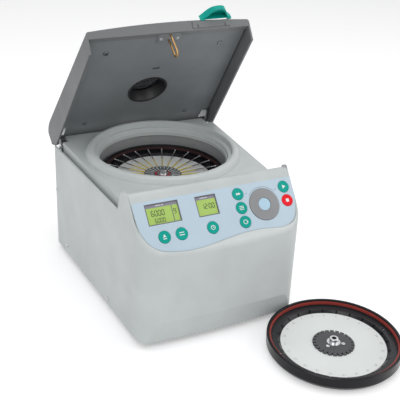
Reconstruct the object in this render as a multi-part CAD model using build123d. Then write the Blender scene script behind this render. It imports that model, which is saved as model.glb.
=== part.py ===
from build123d import *
from math import atan, cos, degrees, radians, sin, sqrt, tan
import os

os.makedirs("parts", exist_ok=True)

# Frame: millimetres, +Z up, the origin on the bench under the spindle axis.
# The front with the keypad faces -Y. The lid stands open, as in the photograph.

# Main sizes: the rotor sets the plan, and the deck's height sets the heights
rotor_radius = 95.0
deck_z = 196.0
bowl_clearance = 5.0
bowl_radius = rotor_radius + bowl_clearance

# Casing, seen from above: a trapezoid that is wider at the rear, with a bowed front
side_room = 40.0
rear_room = 15.0
ear_room = 34.5
slope_depth = 55.1
rear_half_width = bowl_radius + side_room
rear_y = bowl_radius + rear_room
ear_foot_y = -bowl_radius - ear_room
slope_y = ear_foot_y - 30.4
front_y = slope_y - slope_depth
front_bow = 5.0
side_taper = 0.0509
front_corner_radius = 33.0
rear_corner_radius = 6.0
casing_wall = 3.0
casing_bottom_z = 10.0
side_top_z = deck_z - 12.0
fit_gap = 0.3

# Keypad slope: the film's outer face passes through this line at this tilt
slope_z = deck_z + 19.85
slope_tilt = 48.66
rim_height = 1.8
ear_peak_y = ear_foot_y - 11.0
ear_peak_z = deck_z + 20.5
ear_crown_y = ear_foot_y - 16.5
ear_crown_z = deck_z + 23.5
rim_round = 11.0
chin_z = 46.0
chin_depth = 9.0

# Deck, its raised edge and the band that climbs to the ridge
deck_inset = 7.4
deck_skin = 4.0
deck_rear_y = rear_y - 0.8
deck_edge_round = 2.5
groove_z = deck_z - 20.5
groove_floor = 2.5
band_start_y = ear_foot_y + 14.9
band_points = [(3.5, 1.6), (-4.5, 6.0), (-9.5, 12.0), (-14.5, 19.0), (-20.0, 21.6)]
trough_rear_y = rear_y - 3.4
hinge_notch_y = rear_y - 24.0

# Keypad film: places across it are shares of its half width
film_margin = 5.8
film_half_width = rear_half_width - side_taper * (rear_y - ear_foot_y) - film_margin
film_top = 8.5
film_side = 22.0
film_thickness = 0.8
film_wave = [
    (-0.99095, 41.0),
    (-0.93827, 61.0),
    (-0.83128, 74.6),
    (-0.65021, 81.4),
    (-0.44444, 83.6),
    (-0.21893, 82.0),
    (-0.02963, 78.7),
    (0.19177, 75.4),
    (0.40988, 74.5),
    (0.58354, 76.0),
    (0.72016, 77.6),
    (0.84774, 74.0),
    (0.94650, 60.0),
    (0.99095, 41.0),
]
film_gap = 1.0

# Keys: place across and down the slope
key_radius = 0.07078 * film_half_width
key_gap = 0.35
key_proud = 0.6
key_skin = 2.0
key_stem_radius = 2.4
key_travel = 0.6
key_places = {
    "key_open_lid": (-0.72016 * film_half_width, 60.0),
    "key_select": (-0.51440 * film_half_width, 60.0),
    "key_time": (-0.13169 * film_half_width, 60.0),
    "key_quick": (0.27819 * film_half_width, 20.8),
    "key_program": (0.27819 * film_half_width, 41.0),
    "key_recall": (0.27819 * film_half_width, 61.2),
    "key_start": (0.88230 * film_half_width, 21.8),
    "key_stop": (0.88230 * film_half_width, 42.2),
}

# Dial ring
dial_across = 0.57613 * film_half_width
dial_down = 41.6
dial_outer = 0.18930 * film_half_width
dial_inner = 9.4
dial_proud = 1.0
dial_skin = 2.4
dial_gap = 0.4
dial_hub_inner = 7.4
dial_post_radius = 6.9
dial_cap_radius = 9.0

# Displays: left, right, top and bottom edges on the slope
display_windows = [
    (-0.86420 * film_half_width, -0.46502 * film_half_width, 13.0, 42.5),
    (-0.25926 * film_half_width, 0.0, 14.0, 43.0),
]
display_sink = 1.6
display_margin = 1.5
board_width = 1.77778 * film_half_width
board_height = 62.0
board_middle = 44.0
board_posts = [-0.36214 * film_half_width, 0.11523 * film_half_width, 0.76543 * film_half_width]
board_post_radius = 2.5
board_drop = 16.0
board_thickness = 1.6
switch_height = 5.0

# Bowl and its rubber collar
bowl_wall = 1.5
bowl_floor_z = deck_z - 58.0
bowl_corner = 12.0
bowl_flange = 9.0
collar_base_radius = bowl_radius + 19.0
collar_crest_radius = bowl_radius + 11.5
collar_crest_z = deck_z + 10.2
collar_mouth_radius = bowl_radius - 2.0
collar_lip_z = deck_z - 11.0
collar_flat_y = rear_y - 2.8

# Motor, hung from a plate on rubber dampers
shaft_radius = 6.0
shaft_bottom_z = 24.0
running_gap = 0.05
motor_radius = 42.0
motor_wall = 3.0
motor_bottom_z = 38.0
motor_top_z = bowl_floor_z - 26.0
shield_thickness = 6.0
bearing_radius = 13.0
bearing_width = 8.0
core_radius = 26.0
plate_radius = 72.0
plate_thickness = 4.0
damper_circle = 60.0
damper_radius = 9.0
damper_height = 16.0
post_radius = 6.0
fan_radius = 30.0
fan_thickness = 6.0

# Rotor
rotor_height = 23.2
rotor_z = bowl_floor_z + 9.3
rotor_rim = 3.6
ledge_outer = rotor_radius - 6.0
ledge_inner = rotor_radius - 16.5
ledge_z = 14.0
step_inner = rotor_radius - 20.0
disc_radius = step_inner - 0.4
disc_top_z = 10.5
disc_thickness = 1.2
hub_radius = 29.5
hub_top_z = 12.5
gasket_inner = ledge_outer - 0.2
gasket_top_z = 20.6
gasket_height = 4.0
slot_count = 24
slot_width = 2.2
slot_floor_z = 10.4
slot_reach = 1.2
nut_radius = 6.4
nut_bore = 3.3
nut_top_z = 20.0
seat_ring_radius = 9.6
hub_screw_circle = 13.5
tube_radius = 0.8
tube_inner = 25.0
tube_outer = gasket_inner - 0.5
tube_rise = 5.6
spare_x = rear_half_width - 11.7
spare_y = front_y - rotor_radius + 3.0

# Lid, worked out in the closed place and then swung open
lid_rear_y = rear_y + 5.3
lid_length = lid_rear_y - ear_foot_y + 8.8
lid_rest_gap = 1.5
lid_wall = 3.0
lid_crown = 5.0
lid_front_top = 29.4
lid_peak_s = 75.0
lid_peak_top = 42.5
lid_tail_top = 38.5
lid_nose_s = lid_length - 11.1
lid_skirt = 14.0
lid_chamfer_s = 23.0
lid_tail_low_s = 9.0
lid_front_lip_s = lid_length - 11.6
lid_front_lip_low = 20.0
lid_front_lip = 2.5
lid_open_angle = 53.5
lid_rear_round = 8.0
lid_shoulder_round = 25.0
lid_edge_round = 4.0
lid_ease = 0.05
seat_gap = 0.05
mark_s = lid_length - 90.9
mark_length = 12.0
panel_low = 22.0
panel_thickness = 1.5
panel_gap = 2.0
panel_rear_s = 7.0
pivot_y = rear_y - 12.55
pivot_z = side_top_z - 5.02
port_radius = 31.2
port_floor_radius = 26.0
port_wall = 2.0
port_lip = 0.9
port_s = lid_rear_y - 2.3
glass_thickness = 3.0
panel_screws = [
    (side * (rear_half_width - across), place)
    for side in (1, -1)
    for across, place in ((49.2, lid_length - 42.1), (51.5, 40.0))
]

# Lock bail, its plate and the slot that it drops into
bail_front_s = lid_length - 9.6
bail_rear_s = lid_length - 20.6
bail_wire = 1.4
bail_tip = -14.0
bail_plate_thickness = 1.5
bail_plate_front_s = lid_length - 7.2
bail_plate_rear_s = lid_length - 27.6
bail_notch = 18.0
bail_screws = [(12.8, lid_length - 18.1), (-12.8, lid_length - 18.1)]
lock_slot_half_width = 3.4
lock_slot_margin = 3.6

# Lid lock: a bolt that slides through the bail
lock_x0 = -42.0
lock_x1 = -8.0
lock_half_depth = 10.0
lock_wall = 4.0
bolt_half_width = 3.0
bolt_height = 5.0
bolt_lift = 2.3
bolt_tip_x = -5.0
rod_radius = 2.0

# Handle
handle_x = rear_half_width - 67.0
handle_half_width = 25.5
handle_reach = 21.5
handle_rise = 12.0
handle_skin = 2.4
handle_rim = 3.2
handle_tab = 7.0
handle_back = 1.2
handle_base = 33.4
handle_foot = handle_base - 1.6
clip_low = lid_front_lip_low + 2.5
clip_thickness = 1.4
clip_x = handle_x - 9.0
clip_half_width = 30.0

# Hinge
hinge_x = rear_half_width - 11.0
hinge_arm_thickness = 4.0
hinge_arm_radius = 6.0
hinge_pin_radius = 2.5
hinge_ear = 2.0
hinge_ear_gap = 0.8

# Base
tray_thickness = 2.0
tray_flange = 18.0
foot_radius = 12.0
foot_places = [
    (side * (rear_half_width - inward), y)
    for side in (-1, 1)
    for inward, y in ((36.0, front_y + 40.0), (24.0, rear_y - 33.0))
]
side_screws = [(rear_y - 10.0, 109.5), (rear_y - 47.6, 24.8), (ear_foot_y + 36.1, 19.5)]
screw_head_radius = 3.4
screw_shank_radius = 1.9

# Rear panel and what it carries
rear_panel_thickness = 2.0
inlet_x = rear_half_width - 60.0
inlet_z = 62.0
switch_x = inlet_x - 34.0
vent_x = inlet_x - 164.0
rocker_pivot_y = rear_y - 4.0
rocker_half_height = 10.5
rocker_tilt = 7.0

# Power board
power_board_left = 22.0 - rear_half_width
power_board_width = 56.0
power_board_front = 4.0 - bowl_radius
power_board_length = 150.0
power_board_lift = 8.0
power_board_thickness = 1.6
transformer_length = 50.0
transformer_height = 42.4
capacitor_radius = 9.0
capacitor_height = 30.4


def half_width(y):
    return rear_half_width - side_taper * (rear_y - y)


def plan_face(inset, rear=None):
    """The casing's outline seen from above, moved in by inset."""
    back = rear_y - inset if rear is None else rear
    front = front_y + inset
    side = inset / cos(atan(side_taper))
    front_w = half_width(front) - side
    back_w = half_width(back) - side
    edges = [
        Line((-back_w, back), (-front_w, front)),
        ThreePointArc((-front_w, front), (0, front - front_bow), (front_w, front)),
        Line((front_w, front), (back_w, back)),
        Line((back_w, back), (-back_w, back)),
    ]
    face = Sketch() + make_face(edges)
    corners = face.vertices().sort_by(Axis.Y)
    face = fillet(corners[:2], max(front_corner_radius - inset, 2.0))
    corners = face.vertices().sort_by(Axis.Y)
    return fillet(corners[-2:], max(rear_corner_radius - inset, 1.0))


def plan_prism(inset, low, high, rear=None):
    return Pos(0, 0, low) * extrude(plan_face(inset, rear), high - low, dir=(0, 0, 1))


def side_prism(points, reach=400.0):
    """A solid whose outline in Y and Z is the polygon, as wide as reach."""
    face = make_face(Polyline(*[(-reach / 2, y, z) for y, z in points], close=True))
    return extrude(face, reach, dir=(1, 0, 0))


def block(x0, x1, y0, y1, z0, z1):
    return Pos((x0 + x1) / 2, (y0 + y1) / 2, (z0 + z1) / 2) * Box(x1 - x0, y1 - y0, z1 - z0)


def upright(radius, low, high, x=0.0, y=0.0):
    return Pos(x, y, (low + high) / 2) * Cylinder(radius, high - low)


def tube(outer, inner, low, high, x=0.0, y=0.0):
    return upright(outer, low, high, x, y) - upright(inner, low - 1, high + 1, x, y)


def save(shape, name):
    """Write one node, with all its solids in one compound where it has several."""
    solids = shape.solids()
    result = solids[0] if len(solids) == 1 else Compound(children=list(solids))
    result.label = name
    export_step(result, f"parts/{name}.step")
    print(name, len(solids), "solids")


# The slope's own frame: first across, then up the slope, then out of the face
slope = Plane(
    origin=(0, slope_y, slope_z),
    x_dir=(1, 0, 0),
    z_dir=(0, -sin(radians(slope_tilt)), cos(radians(slope_tilt))),
)


def on_slope(across, down, out=0.0):
    return slope * Pos(across, -down, out)


def slope_point(down, out=0.0):
    tilt = radians(slope_tilt)
    y = slope_y - down * cos(tilt) - out * sin(tilt)
    z = slope_z - down * sin(tilt) + out * cos(tilt)
    return (y, z)


def film_face(grow=0.0):
    """The film's outline on the slope, with its wavy lower edge."""
    half = film_half_width + grow
    wave = [(-half, -film_side)]
    wave += [(share * half, -v - grow) for share, v in film_wave]
    wave.append((half, -film_side))
    edges = [
        Line((-half, -film_top), (-half, -film_side)),
        Spline(*wave, tangents=((0, -1), (0, 1))),
        Line((half, -film_side), (half, -film_top)),
        Line((half, -film_top), (-half, -film_top)),
    ]
    return make_face(edges)


# Casing
def casing_profile():
    """The casing's outline seen from the side, with the slope raised to the rim."""
    far_front = slope_point(120.0, rim_height)
    rim_start = slope_point(-6.0, rim_height)
    return side_prism([
        (rear_y + 20, casing_bottom_z - 5),
        (rear_y + 20, side_top_z),
        (ear_foot_y, side_top_z),
        (ear_peak_y, ear_peak_z),
        (ear_crown_y, ear_crown_z),
        rim_start,
        far_front,
        (far_front[0], casing_bottom_z - 5),
    ])


def under_slope(out):
    """All that lies behind the slope's face when that face is moved out."""
    top = slope_point(-90.0, out)
    foot = slope_point(140.0, out)
    return side_prism([top, foot, (foot[0], -20), (rear_y + 60, -20), (rear_y + 60, top[1])])


def make_casing():
    outer = plan_prism(0, casing_bottom_z, 240) & casing_profile()
    edge_z = slope_z - (slope_y - front_y) * tan(radians(slope_tilt))
    front_edges = outer.edges().filter_by(
        lambda e: abs(e.center().Z - edge_z) < 22 and e.center().Y < front_y + 45
        and abs(e.tangent_at(0.5).Z) < 0.9
    )
    outer = with_chin(fillet(front_edges, rim_round), 0)
    cavity = plan_prism(casing_wall, casing_bottom_z - 5, 240) & under_slope(-film_thickness)
    cavity = with_chin(cavity, casing_wall)
    shell = outer - cavity
    film_cut = extrude(film_face(film_gap), amount=40, both=True)
    shell -= slope * film_cut
    inner = half_width(ear_foot_y) - casing_wall
    ridge_cut = Pos(0, 20 - film_top - 4, 0) * Box(2 * (film_half_width + film_gap), 48, 80)
    shell -= slope * ridge_cut
    shell -= plan_prism(casing_wall, side_top_z - 12, 240) & block(
        -inner - 20, inner + 20, ear_crown_y, rear_y + 5, side_top_z - 12, 240)
    opening = half_width(rear_y) - casing_wall
    shell -= block(-opening, opening, rear_y - 8, rear_y + 5, 0, 240)
    for y, z in side_screws:
        for side in (-1, 1):
            shell -= side_bore(side, y, z, screw_shank_radius + 0.2, 12)
    return shell


def chin_prism(inset):
    """The body below the chin line, its front leaning in towards the foot."""
    low = casing_bottom_z - 10
    lean = chin_depth / (chin_z - casing_bottom_z)
    front = front_y + inset + chin_depth + 10 * lean
    wide = rear_half_width + 40
    centre_rise = front_bow * (wide / half_width(front_y)) ** 2
    face = make_face([
        ThreePointArc((-wide, front + centre_rise - front_bow), (0, front - front_bow),
                      (wide, front + centre_rise - front_bow)),
        Line((wide, front + centre_rise - front_bow), (wide, rear_y + 60)),
        Line((wide, rear_y + 60), (-wide, rear_y + 60)),
        Line((-wide, rear_y + 60), (-wide, front + centre_rise - front_bow)),
    ])
    return Pos(0, 0, low) * extrude(face, (chin_z - low) * sqrt(1 + lean ** 2), dir=(0, -lean, 1))


def with_chin(body, inset):
    upper = body - block(-200, 200, -300, 200, -50, chin_z)
    lower = body & block(-200, 200, -300, 200, -50, chin_z) & chin_prism(inset)
    return upper + lower


def side_place(side, y, z):
    """A place on a side wall with its local Z pointing out of the casing."""
    angle = degrees(atan(side_taper))
    return Pos(side * half_width(y), y, z) * Rot(0, 0, -side * angle) * Rot(0, side * 90, 0)


def side_bore(side, y, z, radius, length):
    return side_place(side, y, z) * Cylinder(radius, length)


def side_screw(side, y, z):
    head = Pos(0, 0, 0.9) * Cylinder(screw_head_radius, 1.6)
    head = fillet(head.edges().group_by(Axis.Z)[-1], 0.7)
    head -= Pos(0, 0, 1.4) * Box(3.6, 0.7, 1.2)
    head -= Pos(0, 0, 1.4) * Box(0.7, 3.6, 1.2)
    shank = Pos(0, 0, -4.5) * Cylinder(screw_shank_radius, 9.4)
    return side_place(side, y, z) * (head + shank)


# Cover: deck, band, ridge and the slope under the film, one moulding
def cover_curve_face(drop):
    """The space under the cover's top line, moved down by drop."""
    tail = slope_point(6.0, -film_thickness)
    foot = slope_point(120.0, -film_thickness)
    tilt = radians(slope_tilt)
    top = Spline(
        (0, band_start_y, deck_z),
        *[(0, ear_foot_y + back, deck_z + up) for back, up in band_points],
        (0, tail[0], tail[1]),
        tangents=((0, -1, 0), (0, -cos(tilt), -sin(tilt))),
    )
    edges = [
        Line((0, deck_rear_y, deck_z), (0, band_start_y, deck_z)),
        top,
        Line((0, tail[0], tail[1]), (0, foot[0], foot[1])),
        Line((0, foot[0], foot[1]), (0, foot[0], 60)),
        Line((0, foot[0], 60), (0, deck_rear_y, 60)),
        Line((0, deck_rear_y, 60), (0, deck_rear_y, deck_z)),
    ]
    return Pos(-200, 0, -drop) * make_face(edges)


def cover_mass(drop):
    return extrude(cover_curve_face(drop), 400, dir=(1, 0, 0))


def make_cover():
    skin = cover_mass(0) - cover_mass(deck_skin)
    wide = plan_prism(casing_wall + fit_gap, 60, 240)
    front = skin & wide & block(-200, 200, -300, ear_foot_y, 60, 240)
    narrow = plan_prism(deck_inset, groove_z - groove_floor, deck_z, rear_y + 30)
    top_edges = narrow.edges().group_by(Axis.Z)[-1].filter_by(lambda e: abs(e.center().X) > 50)
    narrow = fillet(top_edges, deck_edge_round) & cover_mass(0)
    narrow -= plan_prism(deck_inset + 3, 0, deck_z - deck_skin, rear_y + 40)
    keep = block(-200, 200, ear_foot_y, 200, 60, 240)
    raised = (skin & wide & plan_prism(deck_inset, 60, 240) & keep) + (narrow & keep)
    floor = plan_prism(casing_wall + fit_gap, groove_z - groove_floor, groove_z, trough_rear_y)
    floor &= block(-200, 200, ear_foot_y, 200, 60, 240)
    floor -= plan_prism(deck_inset + 3, 0, 240, rear_y + 40)
    end_wall = plan_prism(casing_wall + fit_gap, groove_z - groove_floor, 215)
    end_wall &= block(-200, 200, ear_foot_y, ear_foot_y + 3, 60, 240) & cover_mass(0)
    end_wall -= block(-100, 100, -200, 0, 0, deck_z - deck_skin)
    cover = front + raised + floor + end_wall
    cover -= upright(bowl_radius + bowl_wall + 0.3, 60, 240)
    cover -= lock_slot()
    for side in (-1, 1):
        low = side * (hinge_x - 8)
        high = side * (rear_half_width + 2)
        cover -= block(min(low, high), max(low, high), hinge_notch_y, 130, 60, 240)
    for left, right, top, bottom in display_windows:
        hole = Box(right - left, bottom - top, 30)
        cover -= on_slope((left + right) / 2, (top + bottom) / 2) * hole
    for across, down in key_places.values():
        cover -= on_slope(across, down) * Cylinder(key_radius + key_gap, 30)
    cover -= on_slope(dial_across, dial_down) * Cylinder(dial_outer + dial_gap, 30)
    return cover


def closed_y(s):
    """Closed place of a point that lies s in front of the lid's rear edge."""
    return lid_rear_y - s


def closed_z(t):
    """Closed height of a point that lies t above the lid's lower edge."""
    return side_top_z + lid_rest_gap + t


def lock_slot():
    y0 = closed_y(bail_front_s) - lock_slot_margin
    y1 = closed_y(bail_rear_s) + lock_slot_margin
    slot = block(-lock_slot_half_width, lock_slot_half_width, y0, y1, 170, 240)
    return fillet(slot.edges().filter_by(Axis.Z), 2.0)


def make_film():
    film = slope * extrude(film_face(), -film_thickness)
    for left, right, top, bottom in display_windows:
        film -= on_slope((left + right) / 2, (top + bottom) / 2) * Box(
            right - left, bottom - top, 10)
    for across, down in key_places.values():
        film -= on_slope(across, down) * Cylinder(key_radius + key_gap, 10)
    film -= on_slope(dial_across, dial_down) * Cylinder(dial_outer + dial_gap, 10)
    return film


def make_key(across, down):
    """A flush cap with the stem that works its switch."""
    cap = Pos(0, 0, key_proud - key_skin / 2) * Cylinder(key_radius, key_skin)
    cap = fillet(cap.edges().group_by(Axis.Z)[-1], 0.35)
    stem_top = key_proud - key_skin
    stem_low = -board_drop + switch_height + key_travel + 0.3
    stem = Pos(0, 0, (stem_top + stem_low) / 2) * Cylinder(key_stem_radius, stem_top - stem_low)
    return on_slope(across, down) * (cap + stem)


def make_board():
    """Control board, the key switches and the posts that carry it."""
    board = Pos(0, -board_middle, -board_drop - board_thickness / 2) * Box(
        board_width, board_height, board_thickness)
    for across, down in key_places.values():
        board += Pos(across, -down, -board_drop + switch_height / 2) * Box(6, 6, switch_height)
    cover_back = -film_thickness - deck_skin * cos(radians(slope_tilt))
    height = board_drop + cover_back
    for across in board_posts:
        for down in (board_middle - 27.0, board_middle + 27.0):
            board += Pos(across, -down, -board_drop + height / 2) * Cylinder(
                board_post_radius, height)
    return slope * board


def make_displays():
    displays = []
    for left, right, top, bottom in display_windows:
        wide = right - left + 2 * display_margin
        tall = bottom - top + 2 * display_margin
        back = -film_thickness - deck_skin * cos(radians(slope_tilt)) - 0.05
        low = -board_drop
        body = Pos(0, 0, (back + low) / 2) * Box(wide, tall, back - low)
        pane_top = -display_sink
        pane = Pos(0, 0, (pane_top + back) / 2) * Box(
            right - left - 0.6, bottom - top - 0.6, pane_top - back)
        displays.append(on_slope((left + right) / 2, (top + bottom) / 2) * (body + pane))
    return displays[0] + displays[1]


def make_dial_ring():
    """The ring that the fingers turn, on a sleeve round the encoder's post."""
    back = dial_proud - dial_skin
    ring = Pos(0, 0, (dial_proud + back) / 2) * Cylinder(dial_outer, dial_skin)
    ring = fillet(ring.edges().group_by(Axis.Z)[-1], 0.6)
    ring -= Pos(0, 0, dial_proud) * Cylinder(dial_inner, 3.2)
    low = -board_drop + 4.4
    ring += Pos(0, 0, (back + low) / 2) * Cylinder(dial_hub_inner + 2, back - low)
    ring -= Cylinder(dial_post_radius + running_gap, 60)
    return on_slope(dial_across, dial_down) * ring


def make_encoder():
    """Encoder body on the board, with a fixed post that carries the centre cap."""
    body = Pos(0, 0, -board_drop + 2) * Box(24, 24, 4)
    cap_top = 0.4
    post_low = -board_drop + 4
    post = Pos(0, 0, (post_low - 0.8) / 2) * Cylinder(dial_post_radius, -0.8 - post_low)
    cap = Pos(0, 0, (cap_top - 0.5) / 2) * Cylinder(dial_cap_radius, cap_top + 0.5)
    neck = Pos(0, 0, -0.8) * Cylinder(dial_post_radius, 1.2)
    return on_slope(dial_across, dial_down) * (body + post + neck + cap)


# Bowl and collar
def spun(points):
    """A ring or disc made by turning a closed outline of radius and height."""
    face = make_face(Polyline(*[(r, 0, z) for r, z in points], close=True))
    return revolve(face, Axis.Z, 360)


def make_bowl():
    outer = upright(bowl_radius + bowl_wall, bowl_floor_z - bowl_wall, deck_z - deck_skin)
    outer = fillet(outer.edges().group_by(Axis.Z)[0], bowl_corner + bowl_wall)
    inner = upright(bowl_radius, bowl_floor_z, deck_z)
    inner = fillet(inner.edges().group_by(Axis.Z)[0], bowl_corner)
    flange_top = deck_z - deck_skin
    flange = upright(bowl_radius + bowl_flange, flange_top - bowl_wall, flange_top)
    return outer + flange - inner - upright(shaft_radius + 6, 100, 150)


def make_collar():
    """Rubber collar: broad rounded top, stepped down into the mouth."""
    profile = [
        (collar_base_radius, deck_z),
        (collar_base_radius - 0.8, deck_z + 2.6),
        (collar_crest_radius + 4.2, collar_crest_z - 3.0),
        (collar_crest_radius + 1.4, collar_crest_z - 0.7),
        (collar_crest_radius - 1.6, collar_crest_z),
        (collar_crest_radius - 4.2, collar_crest_z - 0.4),
        (collar_crest_radius - 5.3, collar_crest_z - 1.6),
        (collar_mouth_radius + 7.4, deck_z + 1.8),
        (collar_mouth_radius + 2.4, deck_z + 1.0),
        (collar_mouth_radius + 1.9, deck_z),
        (collar_mouth_radius + 0.9, deck_z - 5.0),
        (collar_mouth_radius, deck_z - 5.4),
        (collar_mouth_radius, collar_lip_z),
        (bowl_radius, collar_lip_z),
        (bowl_radius, deck_z),
    ]
    return spun(profile) - block(-90, 90, collar_flat_y, collar_flat_y + 30, 150, 240)


# Rotor
def make_dish():
    outline = [
        (0, 0),
        (rotor_radius - 14, 0),
        (rotor_radius - 3.5, 4.0),
        (rotor_radius, 9.0),
        (rotor_radius, rotor_height - 1.0),
        (rotor_radius - 1.0, rotor_height),
        (rotor_radius - rotor_rim, rotor_height),
        (rotor_radius - rotor_rim - 0.6, gasket_top_z + 0.6),
        (rotor_radius - rotor_rim - 0.6, gasket_top_z - gasket_height),
        (ledge_outer, gasket_top_z - gasket_height),
        (ledge_outer, ledge_z),
        (ledge_inner, ledge_z),
        (step_inner, disc_top_z - 0.2),
        (step_inner, disc_top_z - disc_thickness),
        (0, disc_top_z - disc_thickness),
    ]
    dish = spun(outline)
    slots = None
    for i in range(slot_count):
        angle = 360 / slot_count * (i + 0.5)
        start = step_inner - 1.0
        end = ledge_inner + slot_reach
        cut = Rot(0, 0, angle) * Pos((start + end) / 2, 0, slot_floor_z + 5) * Box(
            end - start, slot_width, 10)
        slots = cut if slots is None else slots + cut
    dish -= slots
    dish -= upright(shaft_radius + running_gap, -1, 30)
    return dish


def make_gasket():
    outer = rotor_radius - rotor_rim - 0.6 - 0.05
    return tube(outer, gasket_inner, gasket_top_z - gasket_height, gasket_top_z)


def make_number_disc():
    return tube(disc_radius, hub_radius - 2.0, disc_top_z - disc_thickness, disc_top_z)


def make_hub_disc():
    """Middle disc with a notch for the inner end of each tube."""
    low = disc_top_z
    hub = upright(hub_radius, low, hub_top_z)
    hub = chamfer(hub.edges().group_by(Axis.Z)[-1], 0.4)
    for i in range(slot_count):
        angle = 360 / slot_count * (i + 0.5)
        hub -= Rot(0, 0, angle) * Pos(hub_radius, 0, low + 2) * Box(9.4, 2.0, 8)
    hub += upright(hub_radius - 2.2, disc_top_z - disc_thickness, low)
    hub -= upright(shaft_radius + running_gap, 0, 40)
    for angle in (200, 320):
        place = Rot(0, 0, angle) * Pos(hub_screw_circle, 0, 0)
        hub -= place * upright(1.6, low - 2, 40)
        hub -= place * upright(3.0, hub_top_z - 0.8, 40)
    return hub


def make_hub_fasteners():
    nut = Pos(0, 0, (hub_top_z + nut_top_z) / 2 + 0.6) * extrude(
        RegularPolygon(nut_radius, 6), (nut_top_z - hub_top_z - 1.2) / 2, both=True)
    nut = upright(nut_radius - 0.2, hub_top_z + 1.2, nut_top_z) + nut
    nut += upright(seat_ring_radius, hub_top_z, hub_top_z + 1.2)
    nut = chamfer(nut.edges().group_by(Axis.Z)[-1], 0.3)
    nut -= upright(nut_bore, hub_top_z - 1, nut_top_z + 1)
    parts = nut
    for angle in (200, 320):
        place = Rot(0, 0, angle) * Pos(hub_screw_circle, 0, 0)
        screw = place * upright(2.8, hub_top_z - 0.8, hub_top_z + 0.8)
        screw += place * upright(1.5, disc_top_z - disc_thickness, hub_top_z)
        screw -= place * (Pos(0, 0, hub_top_z + 0.8) * Box(4, 0.6, 1.0))
        parts += screw
    return parts


def make_tubes():
    """One glass capillary in each slot, rising to the gasket over the ledge."""
    tubes = []
    height = disc_top_z + tube_radius + 0.1 + tube_rise / 2
    run = tube_outer - tube_inner
    lean = degrees(atan(tube_rise / run))
    for i in range(slot_count):
        angle = 360 / slot_count * (i + 0.5)
        rod = Pos((tube_inner + tube_outer) / 2, 0, height) * Rot(0, 90 - lean, 0) * Cylinder(
            tube_radius, run)
        tubes.append((Rot(0, 0, angle) * rod).solid())
    return Compound(children=tubes)


# Motor
def make_motor_case():
    case = tube(motor_radius, motor_radius - motor_wall, motor_bottom_z, motor_top_z)
    for i in range(16):
        angle = 360 / 16 * i
        case += Rot(0, 0, angle) * Pos(motor_radius, 0, (motor_bottom_z + motor_top_z) / 2) * Box(
            5, 2.0, (motor_top_z - motor_bottom_z) * 0.7)
    return case


def make_shields():
    low = tube(motor_radius, bearing_radius, motor_bottom_z - shield_thickness, motor_bottom_z)
    high = tube(motor_radius, bearing_radius, motor_top_z, motor_top_z + shield_thickness)
    low_boss = tube(bearing_radius + 4, bearing_radius, motor_bottom_z, motor_bottom_z + 4)
    high_boss = tube(bearing_radius + 4, bearing_radius, motor_top_z - 4, motor_top_z)
    return Compound(children=[(low + low_boss).solid(), (high + high_boss).solid()])


def make_bearings():
    low_z = motor_bottom_z - shield_thickness + 1
    high_z = motor_top_z + shield_thickness - 1 - bearing_width
    inner = shaft_radius + running_gap
    low = tube(bearing_radius, inner, low_z, low_z + bearing_width)
    high = tube(bearing_radius, inner, high_z, high_z + bearing_width)
    return Compound(children=[low.solid(), high.solid()])


def make_shaft():
    top = rotor_z + hub_top_z + 4
    shaft = upright(shaft_radius, shaft_bottom_z, rotor_z - 6)
    shaft += upright(shaft_radius, rotor_z - 6, rotor_z + hub_top_z)
    shaft += upright(shaft_radius + 3.5, rotor_z - 5, rotor_z)
    shaft += upright(nut_bore - running_gap, rotor_z + hub_top_z, top)
    return shaft


def make_core():
    core_low = motor_bottom_z + 12
    core_high = motor_top_z - 12
    return tube(core_radius, shaft_radius, core_low, core_high)


def make_winding():
    low = motor_bottom_z + 8
    high = motor_top_z - 8
    return tube(motor_radius - motor_wall, core_radius + 0.6, low, high)


def make_fan():
    low = shaft_bottom_z + 1
    fan = tube(9.0, shaft_radius, low, low + fan_thickness)
    for i in range(9):
        blade = Pos((8 + fan_radius) / 2, 0, low + fan_thickness / 2) * Rot(28, 0, 0) * Box(
            fan_radius - 8, 1.4, fan_thickness - 0.6)
        fan += Rot(0, 0, 40 * i) * blade
    fan -= upright(shaft_radius, 0, 60)
    return fan & upright(fan_radius, low - 0.2, low + fan_thickness + 0.2)


def damper_spots():
    return [
        (damper_circle * cos(radians(a)), damper_circle * sin(radians(a)))
        for a in (90, 210, 330)
    ]


def make_motor_plate():
    low = motor_top_z + shield_thickness
    plate = tube(plate_radius, bearing_radius, low, low + plate_thickness)
    return plate


def damper_low_z():
    return motor_top_z + shield_thickness - damper_height


def make_dampers():
    low = damper_low_z()
    solids = [upright(damper_radius, low, low + damper_height, x, y) for x, y in damper_spots()]
    return Compound(children=[s.solid() for s in solids])


# Base tray and feet
def make_tray():
    low = casing_bottom_z
    inset = casing_wall + fit_gap
    floor = plan_prism(inset, low, low + tray_flange)
    tray = floor - plan_prism(inset + tray_thickness, low + tray_thickness, 60)
    tray &= block(-200, 200, front_y + chin_depth + 8, rear_y - 6, 0, 60)
    for i in range(7):
        tray -= Pos(0, -60 + 16 * i, low) * Box(70, 5, 12)
    for x, y in foot_places:
        tray -= upright(screw_shank_radius + 0.1, 0, 40, x, y)
    for y, z in side_screws[1:]:
        for side in (-1, 1):
            tray -= side_bore(side, y, z, screw_shank_radius + 0.1, 14)
    for x, y in damper_spots():
        tray += upright(post_radius, low, damper_low_z(), x, y)
    return tray


def make_feet():
    feet = []
    for x, y in foot_places:
        foot = upright(foot_radius, 0, casing_bottom_z, x, y)
        foot = fillet(foot.edges().group_by(Axis.Z)[0], 1.5)
        foot -= upright(4.2, -1, 5, x, y)
        foot -= upright(screw_shank_radius, 0, 20, x, y)
        feet.append(foot.solid())
    return Compound(children=feet)


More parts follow.
